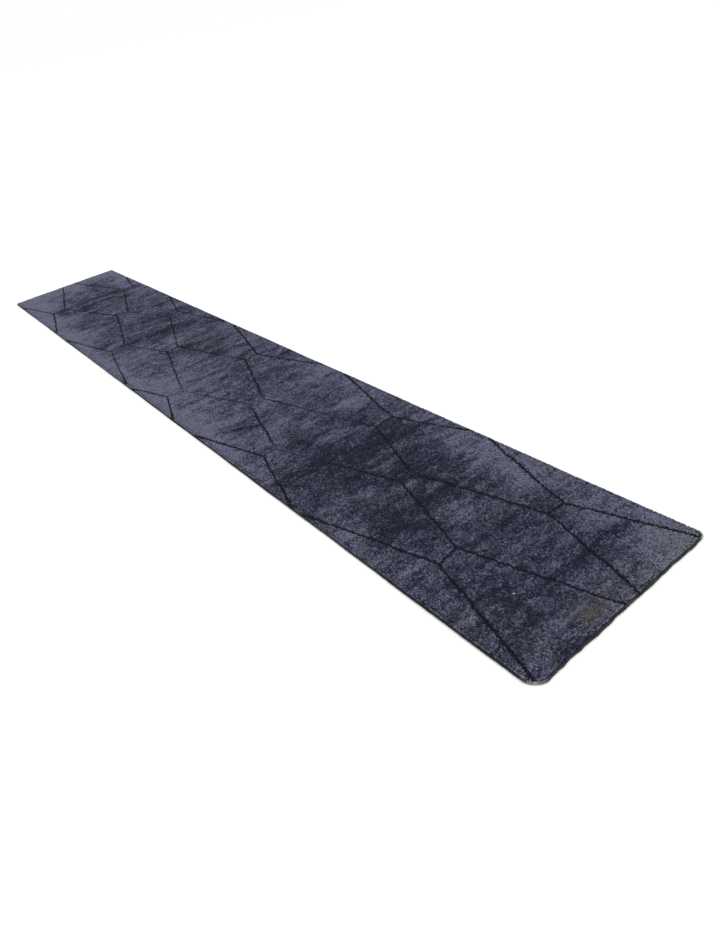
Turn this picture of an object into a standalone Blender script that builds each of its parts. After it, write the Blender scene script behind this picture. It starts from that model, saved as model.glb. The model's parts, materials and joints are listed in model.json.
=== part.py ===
"""Runner rug: a long hand-knotted wool runner with a drawn lattice of dark lines.

The rug lies flat. X runs across its width, Y along its length and +Z is up; the origin is the middle
of its underside. Every piece of the rug's make-up is an object of its own: the woven foundation, one
solid for each field of ground-colour pile, one for each run of dark design pile, and round the edge
a cord whipped over with wool, in four lengths. Neighbours keep a small gap so that none overlap.
"""

import math

import bmesh
import bpy
from mathutils import Vector

# ---- driving dimensions, metres ----
WIDTH = 0.762
LENGTH = 4.877
FOUNDATION_THICKNESS = 0.003
PILE_TOP = 0.013
# kept between neighbouring pieces
GAP = 0.0003
# points closer than this are one point
MERGE_DISTANCE = 0.000001

# rounded corners of the outline
NEAR_LEFT_RADIUS = 0.050
NEAR_RIGHT_RADIUS = 0.024
FAR_RADIUS = 0.014
ARC_STEP_DEG = 11.25

# whipped edge: width and height of the wool roll, diameter of the cord inside it
ROLL_WIDTH = 0.007
END_ROLL_HEIGHT = 0.009
SIDE_ROLL_HEIGHT = 0.006
END_CORD_DIAMETER = 0.0032
SIDE_CORD_DIAMETER = 0.0028
PROFILE_SIDES = 12
# straight stretch that an end roll runs on past its corners
END_ROLL_LEAD = 0.004

# dark design lines
LINE_WIDTH = 0.009
LINK_END_CLEARANCE = 0.0055
EDGE_INSET = ROLL_WIDTH + GAP

# ---- the lattice, drawn by hand ----
# Two long zigzags run down the rug. Short links join them where their corners face each other, and
# join each to a chevron that the rug's side cuts off. A link is (its inner end, its outer end).
RIGHT_LINKS = [
    ((0.165, -2.040), (0.237, -2.038)),
    ((0.161, -1.165), (0.254, -1.160)),
    ((0.163, -0.075), (0.238, -0.074)),
    ((0.196, 0.935), (0.276, 0.985)),
    ((0.240, 1.828), (0.306, 1.813)),
]
LEFT_LINKS = [
    ((-0.142, -1.930), (-0.230, -1.943)),
    ((-0.203, -0.956), (-0.268, -0.958)),
    ((-0.218, -0.096), (-0.297, -0.084)),
    ((-0.171, 0.788), (-0.264, 0.765)),
    ((-0.183, 1.877), (-0.271, 1.862)),
]
# A middle link is (its right end, its left end). The first and last are points where the zigzags
# would cross, just past the rug's two ends.
MIDDLE_LINKS = [
    ((0.022, -2.542), (0.022, -2.542)),
    ((0.036, -1.518), (-0.027, -1.527)),
    ((-0.003, -0.535), (-0.075, -0.522)),
    ((0.018, 0.442), (-0.053, 0.434)),
    ((0.072, 1.326), (-0.003, 1.323)),
    ((0.022, 2.585), (0.022, 2.585)),
]
# Where neighbouring chevrons meet, at the rug's side or past it; the first and last are past the ends.
RIGHT_MEETS = [
    (0.376, -2.500),
    (0.385, -1.541),
    (0.397, -0.560),
    (0.384, 0.464),
    (0.431, 1.533),
    (0.498, 2.660),
]
LEFT_MEETS = [
    (-0.387, -2.500),
    (-0.382, -1.360),
    (-0.406, -0.440),
    (-0.386, 0.204),
    (-0.399, 1.352),
    (-0.480, 2.660),
]

# ---- wool and cotton, as (colour, roughness) ----
GROUND_WOOL = ((0.062, 0.068, 0.105), 0.95)
DESIGN_WOOL = ((0.012, 0.013, 0.022), 0.95)
EDGE_WOOL = ((0.030, 0.032, 0.033), 0.92)
FOUNDATION_COTTON = ((0.120, 0.118, 0.112), 0.90)
CORD_COTTON = ((0.400, 0.380, 0.330), 0.90)


def clear_scene():
    """Start from an empty scene."""
    for item in list(bpy.data.objects):
        bpy.data.objects.remove(item)


def make_material(name, finish):
    """A plain woven-fibre material from a (colour, roughness) finish."""
    colour, roughness = finish
    material = bpy.data.materials.new(name)
    material.use_nodes = True
    shader = material.node_tree.nodes["Principled BSDF"]
    shader.inputs["Base Color"].default_value = (*colour, 1.0)
    shader.inputs["Roughness"].default_value = roughness
    shader.inputs["Metallic"].default_value = 0.0
    return material


def add_object(name, bm, finish):
    """Turn a bmesh into a named object with its own material."""
    bmesh.ops.recalc_face_normals(bm, faces=bm.faces)
    mesh = bpy.data.meshes.new(name)
    bm.to_mesh(mesh)
    bm.free()
    mesh.materials.append(make_material(name + "_material", finish))
    item = bpy.data.objects.new(name, mesh)
    bpy.context.collection.objects.link(item)
    return item


# ---- outline of the rug ----
def corner_arc(centre, radius, start_deg):
    """Points of a quarter circle, anticlockwise from start_deg."""
    steps = round(90 / ARC_STEP_DEG)
    angles = [math.radians(start_deg + 90 * i / steps) for i in range(steps + 1)]
    return [(centre[0] + radius * math.cos(a), centre[1] + radius * math.sin(a)) for a in angles]


def rounded_corner(corner, inset):
    """One corner of the outline, moved inwards by inset. corner is (side, end, radius)."""
    side, end, radius = corner
    centre = (side * (WIDTH / 2 - radius), end * (LENGTH / 2 - radius))
    start_deg = {(1, -1): 270, (1, 1): 0, (-1, 1): 90, (-1, -1): 180}[(side, end)]
    return corner_arc(centre, radius - inset, start_deg)


NEAR_LEFT = (-1, -1, NEAR_LEFT_RADIUS)
NEAR_RIGHT = (1, -1, NEAR_RIGHT_RADIUS)
FAR_RIGHT = (1, 1, FAR_RADIUS)
FAR_LEFT = (-1, 1, FAR_RADIUS)


def rug_outline(inset):
    """The rug's outline as an anticlockwise polygon, moved inwards by inset."""
    points = []
    for corner in (NEAR_LEFT, NEAR_RIGHT, FAR_RIGHT, FAR_LEFT):
        points += rounded_corner(corner, inset)
    return points


# ---- flat shapes and their thickness ----
def raise_faces(bm, bottom, top):
    """Give flat faces lying at z = bottom a thickness up to z = top."""
    result = bmesh.ops.extrude_face_region(bm, geom=bm.faces[:], use_keep_orig=True)
    upper = [item for item in result["geom"] if isinstance(item, bmesh.types.BMVert)]
    bmesh.ops.translate(bm, verts=upper, vec=(0, 0, top - bottom))


def keep_left_of(bm, start, end, offset):
    """Cut the flat faces along the line start-end and keep what lies over offset to its left."""
    along = (Vector(end) - Vector(start)).normalized()
    left = Vector((-along.y, along.x))
    point = Vector(start) + left * offset
    bmesh.ops.bisect_plane(
        bm,
        geom=bm.verts[:] + bm.edges[:] + bm.faces[:],
        dist=MERGE_DISTANCE,
        plane_co=(point.x, point.y, 0),
        plane_no=(left.x, left.y, 0),
        clear_inner=True,
    )


def clip_to_outline(bm, inset):
    """Cut flat faces back to the rug's outline, moved inwards by inset."""
    outline = rug_outline(inset)
    for start, end in zip(outline, outline[1:] + outline[:1]):
        keep_left_of(bm, start, end, 0)


def flat_face(points, height):
    """A bmesh with one face through the points at z = height."""
    bm = bmesh.new()
    bm.faces.new([bm.verts.new((x, y, height)) for x, y in points])
    return bm


# ---- foundation and pile fields ----
def build_foundation():
    """The woven ground of warps and wefts that every knot is tied into."""
    bm = flat_face(rug_outline(EDGE_INSET), 0)
    raise_faces(bm, 0, FOUNDATION_THICKNESS)
    add_object("foundation_weave", bm, FOUNDATION_COTTON)


def build_field(name, chain, closed):
    """One field of ground pile: the outline cut back to the inside of its bounding lines.

    chain lists the lattice points round the field, anticlockwise. A field at the rug's side has an
    open chain, and the outline closes it.
    """
    bottom = FOUNDATION_THICKNESS + GAP
    bm = flat_face(rug_outline(EDGE_INSET), bottom)
    ends = chain[1:] + chain[:1] if closed else chain[1:]
    for start, end in zip(chain, ends):
        if start != end:
            keep_left_of(bm, start, end, LINE_WIDTH / 2)
    raise_faces(bm, bottom, PILE_TOP)
    add_object(name, bm, GROUND_WOOL)


def build_side_fields(label, links, meets):
    """The pointed fields along one long side, outside the chevrons."""
    for k, (_, outer) in enumerate(links):
        chain = [meets[k], outer, meets[k + 1]]
        if outer[0] > 0:
            chain.reverse()
        build_field(f"pile_field_{label}_side_{k + 1}", chain, closed=False)


def build_flank_fields(label, links, meets):
    """The six-sided fields between one long side and the middle of the rug."""
    side = 0 if links[0][0][0] > 0 else 1
    for k, meet in enumerate(meets):
        before = list(links[k - 1]) if k > 0 else []
        after = [links[k][1], links[k][0]] if k < len(links) else []
        middle = MIDDLE_LINKS[k][side]
        if k == 0:
            chain = [meet] + after + [middle]
        elif k == len(links):
            chain = [middle] + before + [meet]
        else:
            chain = before + [meet] + after + [middle]
        if side == 1:
            chain.reverse()
        closed = 0 < k < len(links)
        build_field(f"pile_field_{label}_flank_{k + 1}", chain, closed)


def build_centre_fields():
    """The six-sided fields down the middle; the first and last are cut off by the rug's ends."""
    for k in range(len(MIDDLE_LINKS) - 1):
        near_right, near_left = MIDDLE_LINKS[k]
        far_right, far_left = MIDDLE_LINKS[k + 1]
        chain = [near_left, near_right, RIGHT_LINKS[k][0], far_right, far_left, LEFT_LINKS[k][0]]
        build_field(f"pile_field_centre_{k + 1}", chain, closed=True)


# ---- design lines ----
def cross(a, b):
    """Turn from direction a to direction b."""
    return a.x * b.y - a.y * b.x


def free_end(tip, direction, half_width):
    """The two corners of a line's cut end, right then left, seen along direction towards the tip."""
    across = Vector((-direction.y, direction.x)) * half_width
    return [Vector(tip) - across, Vector(tip) + across]


def junction_corners(centre, tips, half_width):
    """Where the borders of the lines leaving a junction meet, after each line in anticlockwise order.

    The corner between neighbouring directions a and b lies at centre + (a + b) h / (a x b).
    """
    directions = [(Vector(tip) - Vector(centre)).normalized() for tip in tips]
    directions.sort(key=lambda d: math.atan2(d.y, d.x))
    following = directions[1:] + directions[:1]
    corners = [Vector(centre) + (a + b) * half_width / cross(a, b) for a, b in zip(directions, following)]
    return directions, corners


def add_line_faces(bm, points):
    """Add one flat face per list of points at the pile's foot, sharing corners that coincide."""
    height = FOUNDATION_THICKNESS + GAP
    for corners in points:
        bm.faces.new([bm.verts.new((p.x, p.y, height)) for p in corners])
    bmesh.ops.remove_doubles(bm, verts=bm.verts, dist=MERGE_DISTANCE)


def finish_line(name, bm):
    """Cut a run of line to the rug's outline, give it the pile's height and add it."""
    clip_to_outline(bm, EDGE_INSET)
    raise_faces(bm, FOUNDATION_THICKNESS + GAP, PILE_TOP)
    add_object(name, bm, DESIGN_WOOL)


def build_zigzag(name, points):
    """One long zigzag as a mitred ribbon through the points."""
    half_width = LINE_WIDTH / 2 - GAP
    first = (Vector(points[0]) - Vector(points[1])).normalized()
    last = (Vector(points[-1]) - Vector(points[-2])).normalized()
    start_right, start_left = free_end(points[0], first, half_width)
    borders = [(start_left, start_right)]
    for before, here, after in zip(points, points[1:], points[2:]):
        inwards = (Vector(before) - Vector(here)).normalized()
        onwards = (Vector(after) - Vector(here)).normalized()
        mitre = (inwards + onwards) * half_width / cross(onwards, inwards)
        borders.append((Vector(here) - mitre, Vector(here) + mitre))
    end_right, end_left = free_end(points[-1], last, half_width)
    borders.append((end_right, end_left))
    bm = bmesh.new()
    add_line_faces(bm, [(a[0], b[0], b[1], a[1]) for a, b in zip(borders, borders[1:])])
    finish_line(name, bm)


def build_chevron(name, start, link, end):
    """A chevron at the rug's side with the link that joins it to the zigzag."""
    half_width = LINE_WIDTH / 2 - GAP
    inner, outer = Vector(link[0]), Vector(link[1])
    link_tip = inner + (outer - inner).normalized() * LINK_END_CLEARANCE
    tips = [Vector(start), Vector(end), link_tip]
    directions, corners = junction_corners(outer, tips, half_width)
    faces = [corners]
    for tip in tips:
        direction = (tip - outer).normalized()
        arm = min(range(3), key=lambda i: (directions[i] - direction).length)
        right, left = free_end(tip, direction, half_width)
        faces.append([corners[arm - 1], right, left, corners[arm]])
    bm = bmesh.new()
    add_line_faces(bm, faces)
    finish_line(name, bm)


def build_middle_link(name, link):
    """A short link between the two zigzags."""
    half_width = LINE_WIDTH / 2 - GAP
    right, left = Vector(link[0]), Vector(link[1])
    along = (left - right).normalized()
    start = right + along * LINK_END_CLEARANCE
    end = left - along * LINK_END_CLEARANCE
    bm = bmesh.new()
    add_line_faces(bm, [free_end(start, -along, half_width) + free_end(end, along, half_width)])
    finish_line(name, bm)


def build_design_lines():
    """Every run of dark pile."""
    sides = (("right", 0, RIGHT_LINKS, RIGHT_MEETS), ("left", 1, LEFT_LINKS, LEFT_MEETS))
    for label, side, links, meets in sides:
        route = [MIDDLE_LINKS[0][side]]
        for link, middle in zip(links, MIDDLE_LINKS[1:]):
            route += [link[0], middle[side]]
        build_zigzag(f"design_zigzag_{label}", route)
        for k, link in enumerate(links):
            build_chevron(f"design_chevron_{label}_{k + 1}", meets[k], link, meets[k + 1])
    for k, link in enumerate(MIDDLE_LINKS[1:-1]):
        build_middle_link(f"design_link_middle_{k + 1}", link)


# ---- whipped edges ----
def end_route(near, inset):
    """Route of an end roll: round one corner, along the end and round the other corner."""
    corners = (NEAR_LEFT, NEAR_RIGHT) if near else (FAR_RIGHT, FAR_LEFT)
    bend = rounded_corner(corners[0], inset) + rounded_corner(corners[1], inset)
    lead = END_ROLL_LEAD if near else -END_ROLL_LEAD
    first, last = bend[0], bend[-1]
    return [(first[0], first[1] + lead)] + bend + [(last[0], last[1] + lead)]


def side_route(side, near_radius, inset):
    """Straight route of a side roll between the two end rolls."""
    x = side * (WIDTH / 2 - inset)
    clear = END_ROLL_LEAD + GAP
    return [(x, -LENGTH / 2 + near_radius + clear), (x, LENGTH / 2 - FAR_RADIUS - clear)]


def sweep_rings(bm, route, width, height, centre_height):
    """Rings of an oval profile along a flat route, each set square to the route at its point."""
    rings = []
    for i, point in enumerate(route):
        before, after = Vector(route[max(i - 1, 0)]), Vector(route[min(i + 1, len(route) - 1)])
        along = (after - before).normalized()
        across = Vector((-along.y, along.x))
        ring = []
        for k in range(PROFILE_SIDES):
            angle = 2 * math.pi * (k + 0.5) / PROFILE_SIDES
            place = Vector(point) + across * math.cos(angle) * width / 2
            ring.append(bm.verts.new((place.x, place.y, centre_height + math.sin(angle) * height / 2)))
        rings.append(ring)
    return rings


def skin_rings(bm, rings):
    """Quads between neighbouring rings."""
    for lower, upper in zip(rings, rings[1:]):
        for k in range(PROFILE_SIDES):
            j = (k + 1) % PROFILE_SIDES
            bm.faces.new((lower[k], lower[j], upper[j], upper[k]))


def flat_span(size):
    """Size to sweep so that the polygon's flats, not its corners, touch the stated size."""
    return size / math.cos(math.pi / PROFILE_SIDES)


def build_cord(name, route, diameter, centre_height):
    """The cotton cord inside a whipped edge."""
    bm = bmesh.new()
    rings = sweep_rings(bm, route, diameter, diameter, centre_height)
    skin_rings(bm, rings)
    bm.faces.new(rings[0])
    bm.faces.new(rings[-1])
    add_object(name, bm, CORD_COTTON)


def build_whipping(name, route, height, cord_diameter):
    """The sleeve of wool turns round a cord, open at both ends where the cord shows."""
    bm = bmesh.new()
    outer = sweep_rings(bm, route, flat_span(ROLL_WIDTH), flat_span(height), height / 2)
    bore = flat_span(cord_diameter + 2 * GAP)
    inner = sweep_rings(bm, route, bore, bore, height / 2)
    skin_rings(bm, outer)
    skin_rings(bm, inner)
    for end in (0, -1):
        for k in range(PROFILE_SIDES):
            j = (k + 1) % PROFILE_SIDES
            bm.faces.new((outer[end][k], outer[end][j], inner[end][j], inner[end][k]))
    add_object(name, bm, EDGE_WOOL)


def build_edges():
    """A cord and its whipping on each of the rug's four edges."""
    inset = ROLL_WIDTH / 2
    for label, near in (("near", True), ("far", False)):
        route = end_route(near, inset)
        build_cord(f"{label}_end_cord", route, END_CORD_DIAMETER, END_ROLL_HEIGHT / 2)
        build_whipping(f"{label}_end_whipping", route, END_ROLL_HEIGHT, END_CORD_DIAMETER)
    sides = (("left", -1, NEAR_LEFT_RADIUS), ("right", 1, NEAR_RIGHT_RADIUS))
    for label, side, near_radius in sides:
        route = side_route(side, near_radius, inset)
        build_cord(f"{label}_selvedge_cord", route, SIDE_CORD_DIAMETER, SIDE_ROLL_HEIGHT / 2)
        build_whipping(f"{label}_selvedge_whipping", route, SIDE_ROLL_HEIGHT, SIDE_CORD_DIAMETER)


def main():
    """Build the rug from its foundation outwards."""
    clear_scene()
    build_foundation()
    build_side_fields("right", RIGHT_LINKS, RIGHT_MEETS)
    build_side_fields("left", LEFT_LINKS, LEFT_MEETS)
    build_flank_fields("right", RIGHT_LINKS, RIGHT_MEETS)
    build_flank_fields("left", LEFT_LINKS, LEFT_MEETS)
    build_centre_fields()
    build_design_lines()
    build_edges()


main()
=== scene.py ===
"""Looks of the runner rug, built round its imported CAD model.

The rug is knotted wool pile on a woven foundation, and its four edges are cords whipped over with
wool. Every CAD solid gets one visual piece: tufts for a field or a line of pile, a woven sheet for
the foundation, turns of yarn for a whipping and twisted strands for a cord.

All sizes are metres. X runs across the rug, Y along it and +Z is up.
"""

import json
import logging
import math
from dataclasses import dataclass
from enum import Enum
from typing import Any, Union

import bpy
import numpy as np
from mathutils import Matrix, Vector

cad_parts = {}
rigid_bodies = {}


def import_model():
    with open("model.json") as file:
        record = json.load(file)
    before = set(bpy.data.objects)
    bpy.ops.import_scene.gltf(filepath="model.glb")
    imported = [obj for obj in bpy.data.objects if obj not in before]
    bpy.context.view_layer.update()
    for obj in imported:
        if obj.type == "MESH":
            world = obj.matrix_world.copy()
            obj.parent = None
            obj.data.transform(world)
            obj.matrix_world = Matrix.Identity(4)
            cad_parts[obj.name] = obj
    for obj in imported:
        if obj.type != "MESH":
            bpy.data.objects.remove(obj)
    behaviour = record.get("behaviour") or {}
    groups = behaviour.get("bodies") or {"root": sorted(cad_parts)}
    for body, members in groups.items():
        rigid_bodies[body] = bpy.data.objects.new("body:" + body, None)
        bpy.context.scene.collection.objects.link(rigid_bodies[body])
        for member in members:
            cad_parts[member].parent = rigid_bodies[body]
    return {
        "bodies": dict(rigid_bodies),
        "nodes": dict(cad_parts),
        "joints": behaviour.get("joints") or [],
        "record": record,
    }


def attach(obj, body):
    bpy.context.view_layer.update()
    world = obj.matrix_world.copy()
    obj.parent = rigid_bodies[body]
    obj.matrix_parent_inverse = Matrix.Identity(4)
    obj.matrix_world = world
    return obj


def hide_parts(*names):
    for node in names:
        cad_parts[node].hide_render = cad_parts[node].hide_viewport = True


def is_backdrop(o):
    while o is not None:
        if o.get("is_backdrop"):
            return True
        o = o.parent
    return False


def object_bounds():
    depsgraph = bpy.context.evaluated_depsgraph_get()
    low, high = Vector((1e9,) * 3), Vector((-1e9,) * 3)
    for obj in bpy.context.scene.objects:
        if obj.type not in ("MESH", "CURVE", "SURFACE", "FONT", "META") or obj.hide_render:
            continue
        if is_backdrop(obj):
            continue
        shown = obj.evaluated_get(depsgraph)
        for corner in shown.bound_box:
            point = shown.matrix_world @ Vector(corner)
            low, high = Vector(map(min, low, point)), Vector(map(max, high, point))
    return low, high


LOG = logging.getLogger("runner_rug")

Array = np.ndarray
Colour = tuple[float, float, float]

ROOT_BODY = "root"
# name of the flat map that the pieces' colours are laid out on for painting
PAINT_MAP = "OFBake"
# rise from row to row of a strip folded on that map, against the strip's height
ROW_RISE = 1.05
FLOOR_NAME = "studio_floor"

FOUNDATION_THICKNESS = 0.003
# between the foundation and the pieces next to it, and between a cord and its whipping
GAP = 0.0003
# the whipped edges
ROLL_WIDTH = 0.007
END_ROLL_HEIGHT = 0.009
SIDE_ROLL_HEIGHT = 0.006
END_CORD_DIAMETER = 0.0032
SIDE_CORD_DIAMETER = 0.0028
# length by which an end's roll runs past its corners, up the sides
END_ROLL_LEAD = 0.004


# ---------------------------------------------------------------------------------------------
# Shader maths
# ---------------------------------------------------------------------------------------------
class Number:
    """A number that changes over a surface. Python's operators on it add Math nodes."""

    def __init__(self, graph: "Graph", source: bpy.types.NodeSocket) -> None:
        """Wrap a socket.

        Args:
            graph: The material that the socket belongs to.
            source: The output socket.
        """
        self.graph = graph
        self.source = source

    def _math(self, operation: str, *values: "Operand") -> "Number":
        """The result of one Math node on the values."""
        node = self.graph.node("ShaderNodeMath", {"operation": operation}, dict(enumerate(values)))
        return Number(self.graph, node.outputs[0])

    def __add__(self, other: "Operand") -> "Number":
        """self + other."""
        return self._math("ADD", self, other)

    def __radd__(self, other: "Operand") -> "Number":
        """other + self."""
        return self._math("ADD", other, self)

    def __sub__(self, other: "Operand") -> "Number":
        """self - other."""
        return self._math("SUBTRACT", self, other)

    def __rsub__(self, other: "Operand") -> "Number":
        """other - self."""
        return self._math("SUBTRACT", other, self)

    def __mul__(self, other: "Operand") -> "Number":
        """self times other."""
        return self._math("MULTIPLY", self, other)

    def __rmul__(self, other: "Operand") -> "Number":
        """other times self."""
        return self._math("MULTIPLY", other, self)

    def sine(self) -> "Number":
        """The sine of the number, in radians."""
        return self._math("SINE", self)


Operand = Union[Number, float]


class Graph:
    """The node tree of one material, with short ways to add nodes."""

    def __init__(self, name: str) -> None:
        """Start a material with one Principled shader.

        Args:
            name: The material's name.
        """
        self.material = bpy.data.materials.new(name)
        self.material.use_nodes = True
        self.tree = self.material.node_tree
        self.shader = self.tree.nodes["Principled BSDF"]

    @staticmethod
    def _socket(sockets: Any, key: Union[int, str]) -> bpy.types.NodeSocket:
        """Find a socket.

        Args:
            sockets: The sockets to look in.
            key: The socket's place in them, or its identifier.

        Returns:
            The socket.
        """
        if isinstance(key, int):
            return sockets[key]
        return next(s for s in sockets if s.identifier == key)

    def _feed(self, socket: bpy.types.NodeSocket, value: Any) -> None:
        """Link a socket, or set it.

        Args:
            socket: The input socket.
            value: A Number or a socket to link, or a plain value.
        """
        if isinstance(value, Number):
            self.tree.links.new(value.source, socket)
        elif isinstance(value, bpy.types.NodeSocket):
            self.tree.links.new(value, socket)
        else:
            socket.default_value = value

    def node(
        self, kind: str, settings: dict[str, Any], inputs: dict[Union[int, str], Any]
    ) -> bpy.types.Node:
        """Add a node.

        Args:
            kind: The node's type.
            settings: Its properties, set before its sockets.
            inputs: Values or links, by the socket's place or identifier.

        Returns:
            The new node.
        """
        node = self.tree.nodes.new(kind)
        for name, value in settings.items():
            setattr(node, name, value)
        for key, value in inputs.items():
            self._feed(self._socket(node.inputs, key), value)
        return node

    def attribute(self, name: str) -> Number:
        """A number stored on the mesh under that name."""
        node = self.node("ShaderNodeAttribute", {"attribute_name": name}, {})
        return Number(self, node.outputs["Fac"])

    def place(self, scale: Colour = (1.0, 1.0, 1.0), map_name: str = "") -> bpy.types.NodeSocket:
        """Add coordinates.

        Args:
            scale: What each of them is multiplied by.
            map_name: The flat map to take them from. Without one they are the object's.

        Returns:
            The coordinates.
        """
        if map_name:
            source = self.node("ShaderNodeUVMap", {"uv_map": map_name}, {}).outputs["UV"]
        else:
            source = self.node("ShaderNodeTexCoord", {}, {}).outputs["Object"]
        return self.node("ShaderNodeMapping", {}, {"Vector": source, "Scale": scale}).outputs[0]

    def noise(self, place: bpy.types.NodeSocket, scale: float, detail: float = 2.0) -> Number:
        """Cloudy noise around 0.5 at a place, with scale clouds to the unit."""
        inputs = {"Vector": place, "Scale": scale, "Detail": detail}
        return Number(self, self.node("ShaderNodeTexNoise", {}, inputs).outputs[0])

    def mix(self, first: Any, second: Any, share: Operand) -> bpy.types.NodeSocket:
        """Mix two colours.

        Args:
            first: The colour where share is 0.
            second: The colour where share is 1.
            share: The second colour's share.

        Returns:
            The mixed colour.
        """
        inputs = {"Factor_Float": share, "A_Color": opaque(first), "B_Color": opaque(second)}
        node = self.node("ShaderNodeMix", {"data_type": "RGBA"}, inputs)
        return self._socket(node.outputs, "Result_Color")

    def tint(self, colour: Any, strength: Operand) -> bpy.types.NodeSocket:
        """A colour times a number."""
        inputs = {"Vector": colour, "Scale": strength}
        return self.node("ShaderNodeVectorMath", {"operation": "SCALE"}, inputs).outputs[0]

    def dyed(self, colour: Any, dye: Colour) -> bpy.types.NodeSocket:
        """A colour with each channel times the dye's."""
        inputs = {0: colour, 1: dye}
        return self.node("ShaderNodeVectorMath", {"operation": "MULTIPLY"}, inputs).outputs[0]

    def bump(self, height: Number, strength: float, distance: float) -> bpy.types.NodeSocket:
        """A normal tilted by a height pattern."""
        inputs = {"Height": height, "Strength": strength, "Distance": distance}
        return self.node("ShaderNodeBump", {}, inputs).outputs[0]

    def finish(self, **sockets: Any) -> bpy.types.Material:
        """Set the shader's sockets.

        Args:
            sockets: Values or links, by the socket's name with _ for a space.

        Returns:
            The finished material.
        """
        for name, value in sockets.items():
            self._feed(self.shader.inputs[name.replace("_", " ")], value)
        return self.material


def opaque(colour: Any) -> Any:
    """A plain colour with full alpha. A socket is left as it is."""
    return (*colour, 1.0) if isinstance(colour, tuple) else colour


# ---------------------------------------------------------------------------------------------
# Finishes
# ---------------------------------------------------------------------------------------------
@dataclass(frozen=True)
class PileWool:
    """Cut wool pile with stains and lint, each tuft darker towards its root in painted shade.

    Attributes:
        name: The material's name.
        slot: The record's material slot.
        deep: The wool where the dye took best.
        pale: The wool where it is most faded.
        moss: What is left of each channel where the dye went greenish.
        rust: The colour of a rusty stain.
        lint: Undyed fibre.
        painted_root_shade: Painted shade: strength of the colour at a tuft's root, against 1 at its
            tip.
        roughness: How matt the wool is.
        fuzz: Weight of the soft sheen of loose fibres.
        sheen: Colour of that sheen.
        strand_scale: Strands to a unit of the map, round a tuft and up it.
        strand_contrast: How much the strands differ in strength of colour.
        clot_scale: Clots of pile to a metre.
        clot_contrast: How much the clots differ.
        map_name: The map on which a tuft is one unit round and one unit high.
    """

    name: str
    slot: str
    deep: Colour
    pale: Colour
    moss: Colour = (0.97, 1.01, 0.82)
    rust: Colour = (0.125, 0.100, 0.085)
    lint: Colour = (0.55, 0.55, 0.55)
    # painted shade at a tuft's root
    painted_root_shade: float = 0.45
    roughness: float = 0.92
    fuzz: float = 0.06
    sheen: Colour = (0.62, 0.66, 0.85)
    strand_scale: Colour = (22.0, 2.0, 1.0)
    strand_contrast: float = 2.0
    clot_scale: float = 260.0
    clot_contrast: float = 1.1
    map_name: str = "strands"

    def make(self) -> bpy.types.Material:
        """Build the material.

        The colour's strength rises from the root shade to 1 at the tip, times a pattern of strands
        and clots that is 1 on average. The root shade is painted shade between crowded tufts.

        Returns:
            The material.
        """
        graph = Graph(self.name)
        strands = graph.noise(graph.place(self.strand_scale, self.map_name), 1.0, 3.0)
        clots = graph.noise(graph.place(), self.clot_scale)
        level = (self.strand_contrast + self.clot_contrast) / 2 - 1
        pattern = strands * self.strand_contrast + clots * self.clot_contrast - level
        # painted shade: the colour darkens from each tuft's tip down to its knot, where the tufts
        # crowd
        depth = self.painted_root_shade + graph.attribute("rise") * (1 - self.painted_root_shade)
        wool = graph.mix(self.deep, self.pale, graph.attribute("tone"))
        wool = graph.mix(wool, graph.dyed(wool, self.moss), graph.attribute("moss"))
        wool = graph.mix(wool, self.rust, graph.attribute("rust"))
        wool = graph.tint(wool, depth * pattern)
        wool = graph.mix(wool, self.lint, graph.attribute("lint"))
        return graph.finish(
            Base_Color=wool,
            Roughness=self.roughness - 0.12 * clots,
            Specular_IOR_Level=0.15,
            Sheen_Weight=self.fuzz,
            Sheen_Roughness=0.45,
            Sheen_Tint=opaque(self.sheen),
            Normal=graph.bump(strands, 1.0, 0.0016),
        )


@dataclass(frozen=True)
class WhippedYarn:
    """Yarn of the whipped edges, two plies twisted together, worn pale in places.

    Attributes:
        name: The material's name.
        slot: The record's material slot. Not used.
        colour: Of the unworn yarn.
        worn: Of the yarn where it is worn most.
        ply_stripes: Stripes of the plies to a unit of the map, across the turns and round them.
        ply_wobble: How far the stripes stray from straight.
        map_name: The map on which a turn is one unit wide and once round is one unit.
    """

    name: str = "whipped_yarn"
    slot: str = "edge_wool"
    colour: Colour = (0.0150, 0.0150, 0.0155)
    worn: Colour = (0.25, 0.25, 0.22)
    ply_stripes: Colour = (2.0, 9.0, 1.0)
    ply_wobble: float = 1.5
    map_name: str = "turns"

    def make(self) -> bpy.types.Material:
        """Build the material. The plies are stripes that run slantwise over the turns' own map.

        Returns:
            The material.
        """
        graph = Graph(self.name)
        fibres = graph.noise(graph.place(), 1100.0)
        stripes = graph.node(
            "ShaderNodeTexWave",
            {"bands_direction": "DIAGONAL"},
            {
                "Vector": graph.place(self.ply_stripes, self.map_name),
                "Scale": 1.0,
                "Distortion": self.ply_wobble,
            },
        )
        plies = Number(graph, stripes.outputs["Fac"])
        tone = graph.attribute("tone") * (0.62 + plies * 0.35 + fibres * 0.4)
        wool = graph.mix(self.colour, self.worn, graph.attribute("wear"))
        return graph.finish(
            Base_Color=graph.tint(wool, tone),
            Roughness=0.95 - fibres * 0.15,
            Specular_IOR_Level=0.2,
            Sheen_Weight=0.03,
            Sheen_Roughness=0.5,
            Normal=graph.bump(plies * 0.6 + fibres * 0.4, 0.6, 0.0006),
        )


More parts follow.
